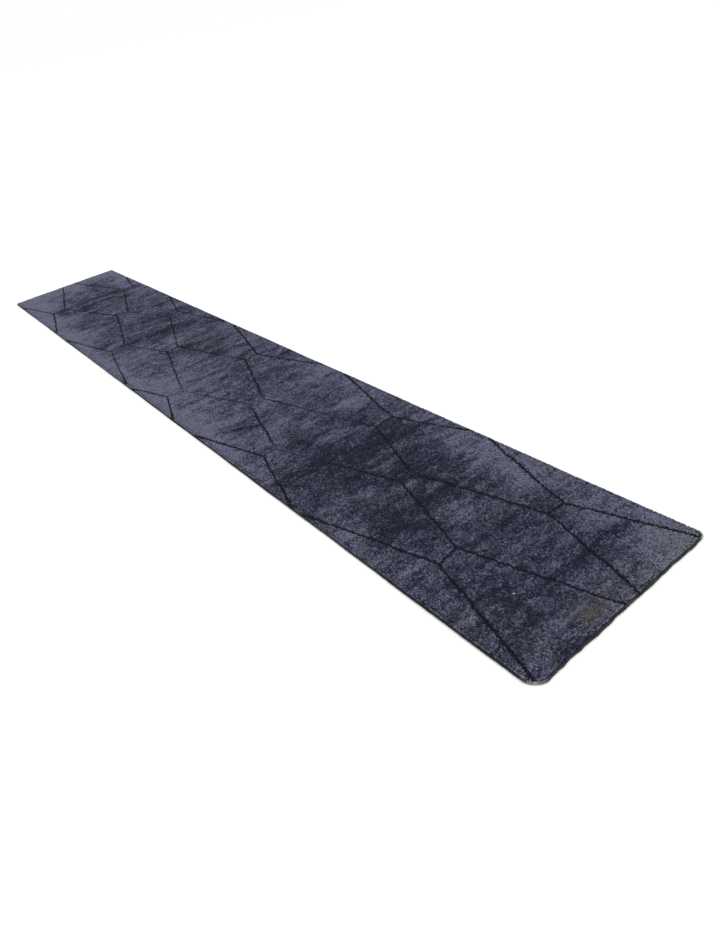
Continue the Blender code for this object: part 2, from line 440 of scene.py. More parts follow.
@dataclass(frozen=True)
class WovenGround:
    """The foundation seen from below: the backs of the knots in their wool, wefts between.

    Attributes:
        name: The material's name.
        slot: The record's material slot. Not used.
        ground: Wool of the fields.
        design: Wool of the drawn lines.
        weft: The cotton between the knots.
        weft_share: How much of it shows.
        map_name: The map on which a knot is one unit wide and one unit long.
    """

    name: str = "woven_ground"
    slot: str = "foundation_cotton"
    ground: Colour = (0.045, 0.050, 0.085)
    design: Colour = (0.012, 0.013, 0.022)
    weft: Colour = (0.10, 0.10, 0.095)
    weft_share: float = 0.55
    map_name: str = "knots"

    def make(self) -> bpy.types.Material:
        """Build the material. A knot's back is two loops side by side.

        The loops' height at the share u across a knot and v along it is
        (1 + sin 4 pi u) / 2 times (1 + sin 2 pi v) / 2, and the weft shows between rows.

        Returns:
            The material.
        """
        graph = Graph(self.name)
        place = graph.place((1.0, 1.0, 1.0), self.map_name)
        parts = graph.node("ShaderNodeSeparateXYZ", {}, {0: place})
        across = Number(graph, parts.outputs[0]) * (4 * math.pi)
        along = Number(graph, parts.outputs[1]) * (2 * math.pi)
        loops = (across.sine() * 0.5 + 0.5) * (along.sine() * 0.5 + 0.5)
        fibres = graph.noise(graph.place(), 900.0)
        wool = graph.mix(self.ground, self.design, graph.attribute("design"))
        wool = graph.tint(wool, graph.attribute("tone") * (0.6 + fibres * 0.8))
        weft_shows = (0.5 - 0.5 * along.sine()) * self.weft_share
        return graph.finish(
            Base_Color=graph.mix(wool, self.weft, weft_shows),
            Roughness=0.95 - fibres * 0.1,
            Normal=graph.bump(loops + fibres * 0.3, 0.8, 0.001),
        )


@dataclass(frozen=True)
class CordCotton:
    """Undyed cotton cord, greyer in clots and between its fibres.

    Attributes:
        name: The material's name.
        slot: The record's material slot. Not used.
        colour: Of clean cotton.
        grey: Of soiled cotton.
    """

    name: str = "cord_cotton"
    slot: str = "cord_cotton"
    colour: Colour = (0.42, 0.39, 0.33)
    grey: Colour = (0.20, 0.19, 0.17)

    def make(self) -> bpy.types.Material:
        """Build the material.

        Returns:
            The material.
        """
        graph = Graph(self.name)
        fibres = graph.noise(graph.place(), 1300.0, 3.0)
        clots = graph.noise(graph.place(), 90.0)
        return graph.finish(
            Base_Color=graph.mix(self.grey, self.colour, fibres * 0.6 + clots * 0.4),
            Roughness=0.95 - fibres * 0.1,
            Normal=graph.bump(fibres, 0.4, 0.0005),
        )


@dataclass(frozen=True)
class StudioPaint:
    """The studio's matt white floor.

    Attributes:
        name: The material's name.
        colour: Its white.
    """

    name: str = "studio_white"
    colour: Colour = (0.90, 0.90, 0.90)

    def make(self) -> bpy.types.Material:
        """Build the material."""
        return Graph(self.name).finish(Base_Color=opaque(self.colour), Roughness=0.95)


# ---------------------------------------------------------------------------------------------
# Meshes and smooth randomness
# ---------------------------------------------------------------------------------------------
def eased(t: Array) -> Array:
    """t held between 0 and 1 and eased at both ends: 3t^2 - 2t^3."""
    t = np.clip(t, 0.0, 1.0)
    return t * t * (3 - 2 * t)


@dataclass(frozen=True)
class Cloud:
    """Smooth random patches: random heights on a lattice, eased between its corners.

    Attributes:
        across: Size of a patch across the rug.
        along: Size of a patch along it.
        seed: Picks the heights.
        lattice: Corners of the lattice each way. Past them it repeats.
    """

    across: float
    along: float
    seed: int
    lattice: int = 512

    def at(self, x: Array, y: Array) -> Array:
        """The cloud's height at each place.

        Args:
            x: Places across the rug.
            y: Places along it.

        Returns:
            Heights from -1 to 1.
        """
        n = self.lattice
        heights = np.random.default_rng(self.seed).uniform(-1, 1, (n, n))
        column, row = x / self.across + n / 2, y / self.along + n / 2
        i, j = np.floor(column).astype(int), np.floor(row).astype(int)
        u, v = eased(column - i), eased(row - j)
        i, j = i % n, j % n
        right, up = (i + 1) % n, (j + 1) % n
        near = heights[i, j] * (1 - u) + heights[right, j] * u
        far = heights[i, up] * (1 - u) + heights[right, up] * u
        return near * (1 - v) + far * v


@dataclass(frozen=True)
class Layers:
    """Clouds added up.

    Attributes:
        base: The height without them.
        clouds: Every layer's weight and cloud.
    """

    base: float
    clouds: tuple[tuple[float, Cloud], ...]

    def at(self, x: Array, y: Array) -> Array:
        """The height at each place: the base plus each cloud's height times its weight."""
        return sum((weight * cloud.at(x, y) for weight, cloud in self.clouds), self.base)


@dataclass
class Skin:
    """A mesh in the making, as whole arrays.

    Attributes:
        points: Place of every point, one row each.
        corners: Point of every face corner, faces one after another.
        sizes: Number of corners of every face.
        numbers: Numbers stored on the points, by name.
        maps: Flat places of the face corners, by the map's name.
    """

    points: Array
    corners: Array
    sizes: Array
    numbers: dict[str, Array]
    maps: dict[str, Array]

    def make(self, name: str, material: bpy.types.Material) -> bpy.types.Object:
        """Turn the arrays into a smoothly shaded object at the origin.

        Args:
            name: The piece's name.
            material: Its finish.

        Returns:
            The new object, linked to the scene.
        """
        mesh = bpy.data.meshes.new(name)
        mesh.vertices.add(len(self.points))
        mesh.vertices.foreach_set("co", self.points.astype(np.float32).ravel())
        mesh.loops.add(len(self.corners))
        mesh.loops.foreach_set("vertex_index", self.corners.astype(np.int32))
        mesh.polygons.add(len(self.sizes))
        starts = np.concatenate([[0], np.cumsum(self.sizes)[:-1]])
        mesh.polygons.foreach_set("loop_start", starts.astype(np.int32))
        mesh.update(calc_edges=True)
        mesh.polygons.foreach_set("use_smooth", np.full(len(self.sizes), True))
        for label, values in self.numbers.items():
            stored = mesh.attributes.new(label, "FLOAT", "POINT")
            stored.data.foreach_set("value", values.astype(np.float32).ravel())
        for label, places in self.maps.items():
            layer = mesh.uv_layers.new(name=label)
            layer.data.foreach_set("uv", places.astype(np.float32).ravel())
        mesh.materials.append(material)
        mesh.validate()
        piece = bpy.data.objects.new(name, mesh)
        bpy.context.scene.collection.objects.link(piece)
        return piece


def onto_unit(places: Array, margin: float = 0.01) -> Array:
    """Flat places stretched to fill the unit square, but for a margin."""
    low, high = places.min(0), places.max(0)
    return margin + (places - low) / (high - low) * (1 - 2 * margin)


def patchwork(rows: int, columns: int, closed: bool = False) -> tuple[Array, Array]:
    """Quads between points laid out in rows.

    Args:
        rows: Number of rows of points.
        columns: Number of points in a row.
        closed: Whether a row's last point joins its first.

    Returns:
        Point of every quad's corner, and the corner's row and column, one quad each.
    """
    spans = columns if closed else columns - 1
    row, column = np.divmod(np.arange((rows - 1) * spans), spans)
    row, column = row[:, None] + (0, 0, 1, 1), column[:, None] + (0, 1, 1, 0)
    return row * columns + column % columns, np.stack([row, column], axis=2).astype(float)


def folded(places: Array, length: int, height: float) -> Array:
    """A long strip's flat places folded into rows, each a little higher than the strip.

    Args:
        places: Places of every face's corners, the strip running in the first number.
        length: Length of a row.
        height: Height of the strip.

    Returns:
        The places, one row of the map above another.
    """
    row = places[:, :, 0].min(1, keepdims=True) // length
    return np.stack([places[..., 0] - row * length, places[..., 1] + row * height * ROW_RISE], 2)


# ---------------------------------------------------------------------------------------------
# The rug's plan
# ---------------------------------------------------------------------------------------------
@dataclass(frozen=True)
class Outline:
    """The rug's outline: a rectangle with a radius of its own at each corner.

    Attributes:
        width: Across the rug.
        length: Along it.
        near_left: Radius of that corner.
        near_right: Radius of that corner.
        far: Radius of both far corners.
    """

    width: float
    length: float
    near_left: float = 0.050
    near_right: float = 0.024
    far: float = 0.014

    def depth(self, x: Array, y: Array) -> Array:
        """How far each place lies inside the outline, negative outside.

        With a corner's radius r and q the place's distance past the corner's centre, on each axis,
        the depth is r minus the length of q where both are past it, or minus the greater of them.

        Args:
            x: Places across the rug.
            y: Places along it.

        Returns:
            The depth at each place.
        """
        radius = np.where(y > 0, self.far, np.where(x > 0, self.near_right, self.near_left))
        past_x = np.abs(x) - (self.width / 2 - radius)
        past_y = np.abs(y) - (self.length / 2 - radius)
        both = np.hypot(np.maximum(past_x, 0), np.maximum(past_y, 0))
        return radius - both - np.minimum(np.maximum(past_x, past_y), 0)

    def outwards(self, x: Array, y: Array) -> Array:
        """The level direction from each place straight to the nearest edge.

        It is the slope of the depth, turned round.

        Args:
            x: Places across the rug.
            y: Places along it.

        Returns:
            The directions, one row each.
        """
        step = 0.0005
        slope_x = self.depth(x - step, y) - self.depth(x + step, y)
        slope_y = self.depth(x, y - step) - self.depth(x, y + step)
        return np.stack([slope_x, slope_y], axis=1) / (2 * step)


@dataclass(frozen=True)
class Wave:
    """A wave over the rug.

    Attributes:
        height: From its middle to its crest.
        across: Distance between crests across the rug.
        along: Distance between crests along it.
        phase: Turn of the wave at the rug's middle, in radians.
    """

    height: float
    across: float = math.inf
    along: float = math.inf
    phase: float = 0.0

    def at(self, x: Array, y: Array) -> Array:
        """Height times sin(2 pi (x / across + y / along) + phase)."""
        turns = x / self.across + y / self.along
        return self.height * np.sin(2 * math.pi * turns + self.phase)


@dataclass(frozen=True)
class Lie:
    """How the rug lies on the floor: its edges sway a little and low swells lift it.

    Attributes:
        swell: Height of the greatest swell.
        swells: The swells' waves. Their heights add up to a half.
        sway: How far a long edge strays to the side.
        sways: That stray's waves, a slow and a quick one.
        end_sway: How far an end strays.
        end_sways: Its waves.
    """

    swell: float = 0.0015
    swells: tuple[Wave, ...] = (
        Wave(0.22, along=1.3),
        Wave(0.16, across=1.1, along=0.57),
        Wave(0.12, across=0.5, along=-2.1),
    )
    sway: float = 0.0010
    sways: tuple[Wave, ...] = (Wave(0.6, along=0.83, phase=1.0), Wave(0.4, along=0.27))
    end_sway: float = 0.0018
    end_sways: tuple[Wave, ...] = (Wave(0.6, across=0.21, phase=2.0), Wave(0.4, across=0.065))

    def settle(self, points: Array) -> Array:
        """Move points from the flat rug to where they lie.

        The lift is the swell times a half plus its waves. A stray is the sway times its waves.

        Args:
            points: Places on the flat rug, with x, y and z on the last axis.

        Returns:
            The places on the lying rug.
        """
        x, y, z = points[..., 0], points[..., 1], points[..., 2]
        waves = sum(wave.at(x, y) for wave in self.swells)
        aside = sum(wave.at(x, y) for wave in self.sways)
        onwards = sum(wave.at(x, y) for wave in self.end_sways)
        moved = (x + self.sway * aside, y + self.end_sway * onwards, z + self.swell * (0.5 + waves))
        return np.stack(moved, axis=-1)


class Plan:
    """Which CAD solid each place of the rug belongs to, read from the solids' top faces."""

    # how far the drawn lines' wool spreads into the fields
    LINE_SPREAD = 0.0012

    def __init__(self, nodes: dict[str, bpy.types.Object], names: list[str]) -> None:
        """Read the solids' flat outlines.

        Args:
            nodes: The frame's CAD nodes.
            names: The pile's nodes.
        """
        self.names = names
        self.tops = [self._top_of(nodes[name]) for name in names]

    @staticmethod
    def _top_of(node: bpy.types.Object) -> Array:
        """Read a solid's top.

        Args:
            node: The solid's CAD node.

        Returns:
            The triangles of its top as seen from above, by triangle and corner.
        """
        mesh = node.data
        mesh.calc_loop_triangles()
        points = np.zeros(len(mesh.vertices) * 3)
        mesh.vertices.foreach_get("co", points)
        corners = np.zeros(len(mesh.loop_triangles) * 3, int)
        mesh.loop_triangles.foreach_get("vertices", corners)
        triangles = points.reshape(-1, 3)[corners].reshape(-1, 3, 3)
        top = triangles[..., 2].max()
        return triangles[triangles[..., 2].min(1) > top - GAP][..., :2]

    @staticmethod
    def _depth(places: Array, triangle: Array) -> Array:
        """How deep places lie in a triangle: their least distance to its three sides.

        Args:
            places: The places, one row each.
            triangle: Its corners, one row each.

        Returns:
            The depth of each place, negative outside.
        """
        edges = np.roll(triangle, -1, axis=0) - triangle
        turn = np.sign(edges[0, 0] * edges[1, 1] - edges[0, 1] * edges[1, 0])
        normals = np.stack([-edges[:, 1], edges[:, 0]], 1) * turn
        normals = normals / np.maximum(np.hypot(*edges.T), 1e-9)[:, None]
        offsets = (normals * triangle).sum(1)
        return (places @ normals.T - offsets).min(1)

    def sort(self, x: Array, y: Array, reach: float = 0.02) -> Array:
        """Find the solid that each place is deepest in.

        A place's depth in a solid is the greatest over its triangles, and negative just outside,
        so a place in the gap between two solids goes to the nearer one. A line's depth counts for
        a little more than a field's.

        Args:
            x: Places across the rug.
            y: Places along it.
            reach: How far outside a solid a place can be and still be weighed for it.

        Returns:
            The index of each place's solid in names.
        """
        places = np.stack([x, y], 1)
        best, owner = np.full(len(x), -np.inf), np.zeros(len(x), int)
        for index, triangles in enumerate(self.tops):
            spread = self.LINE_SPREAD if self.names[index].startswith("design_") else 0.0
            low, high = triangles.min((0, 1)) - reach, triangles.max((0, 1)) + reach
            close = np.flatnonzero(((places > low) & (places < high)).all(1))
            for triangle in triangles:
                depth = self._depth(places[close], triangle) + spread
                better = depth > best[close]
                best[close[better]] = depth[better]
                owner[close[better]] = index
        return owner


# ---------------------------------------------------------------------------------------------
# Dye and wear
# ---------------------------------------------------------------------------------------------
class Wear(Enum):
    """What a worn, faded or stained patch does to the pile."""

    DARK = "dark"
    LIGHT = "light"
    MOSS = "moss"
    RUST = "rust"
    LINE_FADED = "line_faded"


@dataclass(frozen=True)
class Patch:
    """One soft-edged patch of the pile.

    Attributes:
        centre: Its middle, across and along the rug.
        size: Half its width across and along the rug.
        strength: How much it does in its middle. 1 is a plain patch.
        turn: Its turn from the rug's axes, in degrees.
    """

    centre: tuple[float, float]
    size: tuple[float, float]
    strength: float
    turn: float = 0.0

    def at(self, x: Array, y: Array) -> Array:
        """Its strength at each place.

        With a and b the place's distances from its middle, as shares of the two half widths, it is
        the strength times exp(-a^2 - b^2).

        Args:
            x: Places across the rug.
            y: Places along it.

        Returns:
            The strengths.
        """
        angle = math.radians(self.turn)
        dx, dy = x - self.centre[0], y - self.centre[1]
        across = (dx * math.cos(angle) + dy * math.sin(angle)) / self.size[0]
        along = (dy * math.cos(angle) - dx * math.sin(angle)) / self.size[1]
        return self.strength * np.exp(-(across**2) - along**2)


# This rug's patches by what they do: broad ones first, then the rest from the near end on.
PATCHES: dict[Wear, tuple[Patch, ...]] = {
    Wear.LIGHT: (
        Patch((0.37, -1.6), (0.13, 1.1), 1.0),
        Patch((-0.37, -1.3), (0.11, 0.9), 0.6),
        Patch((-0.37, 0.25), (0.13, 0.9), 0.5),
        Patch((-0.37, 1.85), (0.15, 0.8), 0.9),
        Patch((0.35, 1.95), (0.09, 0.35), 0.6),
        Patch((0.06, 1.25), (0.12, 0.3), 0.35),
        Patch((-0.22, -0.23), (0.14, 0.22), 0.4),
        Patch((0.35, -2.405), (0.06, 0.05), 1.0),
        Patch((-0.06, -2.41), (0.08, 0.03), 0.5),
        Patch((0.29, -2.37), (0.11, 0.08), 1.0),
        Patch((0.35, -2.02), (0.06, 0.08), 0.5),
        Patch((0.28, -1.76), (0.06, 0.13), 0.6),
        Patch((-0.025, -1.755), (0.05, 0.045), 0.5),
        Patch((0.29, -1.56), (0.06, 0.07), 0.75),
        Patch((-0.34, -1.69), (0.035, 0.1), 0.5),
        Patch((-0.13, -1.545), (0.06, 0.04), 0.45),
        Patch((-0.22, -1.47), (0.13, 0.016), 0.75, -14.0),
        Patch((-0.035, -1.06), (0.03, 0.02), 0.9),
        Patch((0.18, -0.9), (0.05, 0.06), 0.4),
        Patch((-0.19, -0.89), (0.07, 0.08), 0.55),
        Patch((-0.345, -0.6), (0.03, 0.42), 0.75),
        Patch((-0.21, -0.35), (0.08, 0.014), 1.1, -30.0),
        Patch((-0.3, -0.44), (0.05, 0.07), 0.6),
        Patch((-0.2, 0.01), (0.08, 0.05), 0.6),
        Patch((-0.205, 0.09), (0.07, 0.016), 0.9, -12.0),
        Patch((-0.345, 0.3), (0.03, 0.45), 0.9),
        Patch((-0.035, 0.285), (0.035, 0.05), 0.9),
        Patch((-0.15, 0.34), (0.06, 0.022), 0.7, -30.0),
        Patch((0.035, 0.575), (0.036, 0.036), 1.0),
        Patch((-0.345, 0.9), (0.026, 0.25), 1.0),
        Patch((0.33, 1.15), (0.07, 0.11), 0.5),
        Patch((-0.18, 1.19), (0.07, 0.014), 0.5),
        Patch((-0.345, 1.5), (0.03, 0.3), 0.9),
        Patch((-0.25, 1.64), (0.07, 0.045), 0.9),
        Patch((0.045, 1.93), (0.022, 0.026), 1.2),
        Patch((0.04, 2.24), (0.04, 0.08), 0.7),
        Patch((-0.3, 2.15), (0.08, 0.22), 0.9),
        Patch((0.35, 2.15), (0.04, 0.13), 0.8),
        Patch((0.1, 2.4), (0.38, 0.07), 1.0),
    ),
    Wear.DARK: (
        Patch((0.13, -0.1), (0.22, 0.5), 0.35),
        Patch((0.15, 0.75), (0.22, 0.35), 0.35),
        Patch((0.14, 1.55), (0.24, 0.65), 0.55),
        Patch((-0.06, 1.7), (0.15, 0.3), 0.3),
        Patch((-0.22, -2.05), (0.22, 0.3), 0.28),
        Patch((0.0, -1.6), (0.3, 0.11), 0.35),
        Patch((-0.05, -1.28), (0.36, 0.14), 0.5),
        Patch((-0.2, 1.08), (0.1, 0.25), 0.3),
        Patch((0.24, -2.245), (0.055, 0.02), 1.1),
        Patch((0.1, -2.235), (0.06, 0.018), 1.1),
        Patch((0.03, -2.225), (0.28, 0.014), 0.45),
        Patch((-0.26, -2.395), (0.09, 0.045), 0.5),
        Patch((0.07, -1.98), (0.045, 0.06), 0.6),
        Patch((-0.185, -1.735), (0.07, 0.018), 1.3, -48.0),
        Patch((-0.235, -1.69), (0.04, 0.024), 0.6),
        Patch((-0.04, -1.69), (0.045, 0.028), 0.8),
        Patch((-0.19, -1.7), (0.08, 0.07), 0.6),
        Patch((0.06, -1.69), (0.035, 0.022), 0.8),
        Patch((0.068, -1.63), (0.055, 0.01), 1.5, -71.0),
        Patch((0.022, -1.548), (0.045, 0.012), 1.5, -45.0),
        Patch((0.0, -1.62), (0.036, 0.009), 1.3, 31.0),
        Patch((0.07, -1.49), (0.09, 0.06), 0.4),
        Patch((-0.31, -1.37), (0.055, 0.05), 0.8),
        Patch((0.19, -1.305), (0.13, 0.022), 0.9),
        Patch((0.14, -1.255), (0.16, 0.04), 0.5),
        Patch((0.02, -1.207), (0.33, 0.012), 1.3),
        Patch((0.2, -1.3), (0.14, 0.012), 0.8),
        Patch((-0.305, -1.24), (0.03, 0.024), 0.9),
        Patch((-0.03, -1.025), (0.06, 0.016), 0.8),
        Patch((-0.12, -0.985), (0.04, 0.026), 0.75),
        Patch((0.19, -1.04), (0.08, 0.08), 0.5),
        Patch((-0.198, -0.697), (0.08, 0.012), 1.5, -33.0),
        Patch((0.18, -0.468), (0.09, 0.02), 0.6),
        Patch((-0.25, -0.385), (0.06, 0.02), 0.6),
        Patch((-0.25, -0.258), (0.055, 0.015), 0.9),
        Patch((0.32, -0.205), (0.05, 0.034), 1.3),
        Patch((0.25, -0.08), (0.06, 0.022), 0.8),
        Patch((0.19, -0.01), (0.05, 0.04), 0.9),
        Patch((0.0, -0.075), (0.035, 0.022), 0.6),
        Patch((0.115, 0.145), (0.032, 0.03), 1.4),
        Patch((0.135, 0.248), (0.04, 0.013), 0.8),
        Patch((-0.22, 0.215), (0.06, 0.03), 0.5),
        Patch((-0.05, 0.43), (0.045, 0.07), 0.5),
        Patch((0.08, 0.77), (0.08, 0.018), 1.0),
        Patch((-0.14, 0.78), (0.14, 0.016), 0.45),
        Patch((-0.255, 0.885), (0.045, 0.034), 0.8),
        Patch((-0.19, 1.145), (0.08, 0.014), 0.7),
        Patch((-0.19, 1.24), (0.07, 0.014), 0.7),
        Patch((0.26, 1.23), (0.045, 0.04), 0.8),
        Patch((-0.24, 1.4), (0.034, 0.026), 0.6),
        Patch((-0.225, 1.8), (0.04, 0.09), 1.3),
        Patch((0.15, 1.66), (0.06, 0.06), 0.6),
        Patch((-0.06, 1.78), (0.06, 0.09), 0.6),
        Patch((0.15, 1.86), (0.08, 0.06), 0.5),
        Patch((0.14, 2.19), (0.04, 0.05), 0.7),
        Patch((-0.19, 2.18), (0.026, 0.04), 0.5),
    ),
    Wear.MOSS: (
        Patch((0.0, 2.42), (0.5, 0.1), 1.0),
        Patch((-0.06, -2.375), (0.12, 0.06), 1.0),
        Patch((0.31, -2.4), (0.11, 0.06), 1.0),
        Patch((0.12, -2.39), (0.06, 0.05), 1.0),
        Patch((-0.28, -2.25), (0.1, 0.12), 0.6),
        Patch((-0.15, -1.7), (0.12, 0.08), 0.8),
        Patch((0.03, -1.62), (0.08, 0.07), 0.7),
        Patch((0.15, -1.27), (0.14, 0.06), 0.8),
        Patch((-0.27, -1.2), (0.09, 0.05), 0.8),
        Patch((0.11, 0.17), (0.07, 0.07), 0.8),
        Patch((0.12, 0.4), (0.1, 0.15), 0.6),
        Patch((0.11, 0.77), (0.08, 0.08), 0.9),
        Patch((0.29, 1.38), (0.07, 0.12), 0.6),
        Patch((0.15, 1.68), (0.06, 0.12), 0.6),
    ),
    Wear.RUST: (
        Patch((-0.09, -2.38), (0.038, 0.026), 0.52),
    ),
    Wear.LINE_FADED: (
        Patch((0.015, -1.52), (0.035, 0.02), 0.35),
        Patch((-0.155, -1.07), (0.035, 0.12), 0.45, 17.0),
        Patch((0.13, -1.02), (0.04, 0.12), 0.25, 22.0),
        Patch((-0.21, -0.94), (0.05, 0.05), 0.5),
        Patch((-0.035, -0.53), (0.05, 0.05), 0.9),
        Patch((-0.12, -0.37), (0.04, 0.16), 0.4, 17.0),
        Patch((-0.14, 0.14), (0.05, 0.24), 0.35),
        Patch((-0.31, 0.5), (0.06, 0.24), 0.4),
        Patch((0.08, 0.53), (0.05, 0.11), 0.45),
        Patch((-0.1, 0.58), (0.05, 0.14), 0.4),
        Patch((0.08, -0.85), (0.08, 0.15), 0.45),
        Patch((-0.215, -0.14), (0.06, 0.1), 0.8),
        Patch((-0.24, -0.06), (0.07, 0.06), 0.6),
        Patch((0.12, 0.06), (0.06, 0.08), 0.5),
        Patch((-0.18, 0.78), (0.1, 0.06), 0.4),
        Patch((0.1, 1.12), (0.1, 0.12), 0.4),
        Patch((0.26, 1.82), (0.06, 0.06), 0.5),
    ),
}

# Bits of undyed fibre: place across and along the rug, and how pale each is.
LINT = (
    (0.053, -1.844, 0.35),
    (-0.081, -1.776, 0.45),
    (-0.173, -2.188, 1.00),
    (-0.150, -2.205, 0.30),
    (-0.049, -1.072, 0.35),
    (-0.237, -2.184, 0.20),
)


@dataclass(frozen=True)
class Dyeing:
    """Shade of every knot: bands of yarn from different dye lots, mottling, patches and lint.

    Attributes:
        middle: The tone of plain pile, between 0, deep, and 1, pale.
        tone_power: Power of the tone that gives the share of the pale wool, so that equal steps of
            tone look equal.
        band: How much the bands across the rug differ.
        bands: The bands, much longer across the rug than along it.
        mottle: How much the mottling differs.
        mottling: The mottling, spots of four sizes, each 1.8 times as wide as long.
        wisps: What breaks up the patches.
        greening: How greenish the plain pile is.
        knot: How much single knots differ.
        palest: The palest tone before the knots' own differences.
        lengthwise_places: Places along the rug between which its tone shifts more or less.
        lengthwise_tones: What is added to the tone there: darker in the near part, lighter at the
            far end.
        patch: How much a patch of strength 1 darkens or lightens.
        most_light: Most that light patches may add up to where they overlap.
        most_dark: Most that dark patches may add up to.
        lint_size: Reach of a bit of lint.
    """

    middle: float = 0.598
    tone_power: float = 1.6
    band: float = 0.12
    bands: Layers = Layers(0.0, ((1.0, Cloud(0.30, 0.014, 11)), (1.0, Cloud(0.22, 0.034, 12))))
    mottle: float = 0.148
    mottling: Layers = Layers(
        0.0,
        tuple(
            (1.0, Cloud(1.8 * size, size, 13 + layer))
            for layer, size in enumerate((0.008, 0.015, 0.030, 0.060))
        ),
    )
    wisps: Layers = Layers(1.0, ((0.35, Cloud(0.05, 0.012, 51)), (0.3, Cloud(0.02, 0.02, 52))))
    greening: Layers = Layers(0.10, ((0.3, Cloud(0.10, 0.08, 18)), (0.3, Cloud(0.04, 0.03, 19))))
    knot: float = 0.215
    palest: float = 0.90
    lengthwise_places: tuple[float, ...] = (-2.44, -2.25, -2.05, -1.20, -0.85, -0.60, 0.60, 2.25, 2.44)
    lengthwise_tones: tuple[float, ...] = (0.02, -0.13, -0.17, -0.22, -0.16, 0.02, 0.00, 0.02, 0.45)
    patch: float = 0.39
    most_light: float = 1.2
    most_dark: float = 1.5
    lint_size: float = 0.0030

    def at(self, x: Array, y: Array, seed: int) -> dict[str, Array]:
        """Work out the shade of the pile at each place.

        The tone is the middle one plus a shift along the rug, bands that run across it, layers
        of mottling, a random share of each knot's own and the patches, which wisps break up.

        Args:
            x: Places across the rug.
            y: Places along it.
            seed: Picks the random shares.

        Returns:
            The numbers "tone", "moss", "rust", "lint" and "faded" at each place.
        """
        bands = self.bands.at(x, y)
        mottle = self.mottling.at(x, y)
        own = np.random.default_rng(seed).normal(0, self.knot, len(x))
        worn = {wear: np.zeros(len(x)) for wear in Wear}
        wisps = self.wisps.at(x, y)
        for wear, patches in PATCHES.items():
            for patch in patches:
                worn[wear] += patch.at(x, y) * wisps
        # darker over the near part of the rug and lighter at its far end
        lengthwise_shift = np.interp(y, self.lengthwise_places, self.lengthwise_tones)
        shift = np.clip(worn[Wear.LIGHT], 0, self.most_light)
        shift = shift - np.clip(worn[Wear.DARK], 0, self.most_dark)
        tone = self.middle + lengthwise_shift + self.band * bands + self.mottle * mottle + self.patch * shift
        moss = self.greening.at(x, y)
        lint = np.zeros(len(x))
        for place_x, place_y, strength in LINT:
            lint += strength * (np.hypot(x - place_x, y - place_y) < self.lint_size)
        return {
            "tone": np.clip(np.clip(tone, 0, self.palest) + own, 0, 1) ** self.tone_power,
            "moss": np.clip(moss + worn[Wear.MOSS], 0, 1),
            "rust": np.clip(worn[Wear.RUST], 0, 1),
            "lint": np.clip(lint, 0, 1),
            "faded": np.clip(worn[Wear.LINE_FADED], 0, 1),
        }


# ---------------------------------------------------------------------------------------------
# The pile
# ---------------------------------------------------------------------------------------------
@dataclass
class Knots:
    """The rug's knots, as whole arrays.

    Attributes:
        x: Their places across the rug.
        y: Their places along it.
        owner: The index of each knot's solid.
        outermost: Whether it is in the outermost row.
    """

    x: Array
    y: Array
    owner: Array
    outermost: Array

    def __len__(self) -> int:
        """Number of knots."""
        return len(self.x)

    def of(self, index: int) -> "Knots":
        """The knots of one solid."""
        mine = self.owner == index
        return Knots(self.x[mine], self.y[mine], self.owner[mine], self.outermost[mine])


@dataclass(frozen=True)
class KnotRows:
    """The rows in which the rug is knotted.

    Attributes:
        across: Distance between neighbouring knots of a row.
        along: Distance between rows. Every other row is shifted by half a knot.
        stray: How far a knot strays from its place.
        bow: How far a row bows along the rug.
        wander: How far the drawn lines wander from straight.
        margin: Distance of the outermost knots from the whipped edge.
    """

    across: float = 0.0053
    along: float = 0.0053
    stray: float = 0.0013
    bow: float = 0.0025
    wander: float = 0.0028
    margin: float = 0.0016

    def tie(self, outline: Outline, plan: Plan) -> Knots:
        """Place every knot and find the solid it belongs to.

        Args:
            outline: The rug's outline.
            plan: The pile's solids.

        Returns:
            The knots.
        """
        columns = np.arange(math.ceil(outline.width / self.across))
        rows = np.arange(math.ceil(outline.length / self.along))
        column, row = (part.ravel() for part in np.meshgrid(columns, rows))
        x = (column + 0.5 * (row % 2) - len(columns) / 2) * self.across
        y = (row - (len(rows) - 1) / 2) * self.along
        y = y + self.bow * Cloud(0.25, 0.30, 21).at(x, y)
        stray = np.random.default_rng(22).uniform(-self.stray, self.stray, (2, len(x)))
        x, y = x + stray[0], y + stray[1]
        first = ROLL_WIDTH + self.margin
        inside = outline.depth(x, y) > first
        x, y = x[inside], y[inside]
        outermost = outline.depth(x, y) < first + self.across
        drawn_x = x + self.wander * Cloud(0.09, 0.055, 23).at(x, y)
        drawn_y = y + self.wander * Cloud(0.055, 0.09, 24).at(x, y)
        return Knots(x, y, plan.sort(drawn_x, drawn_y), outermost)


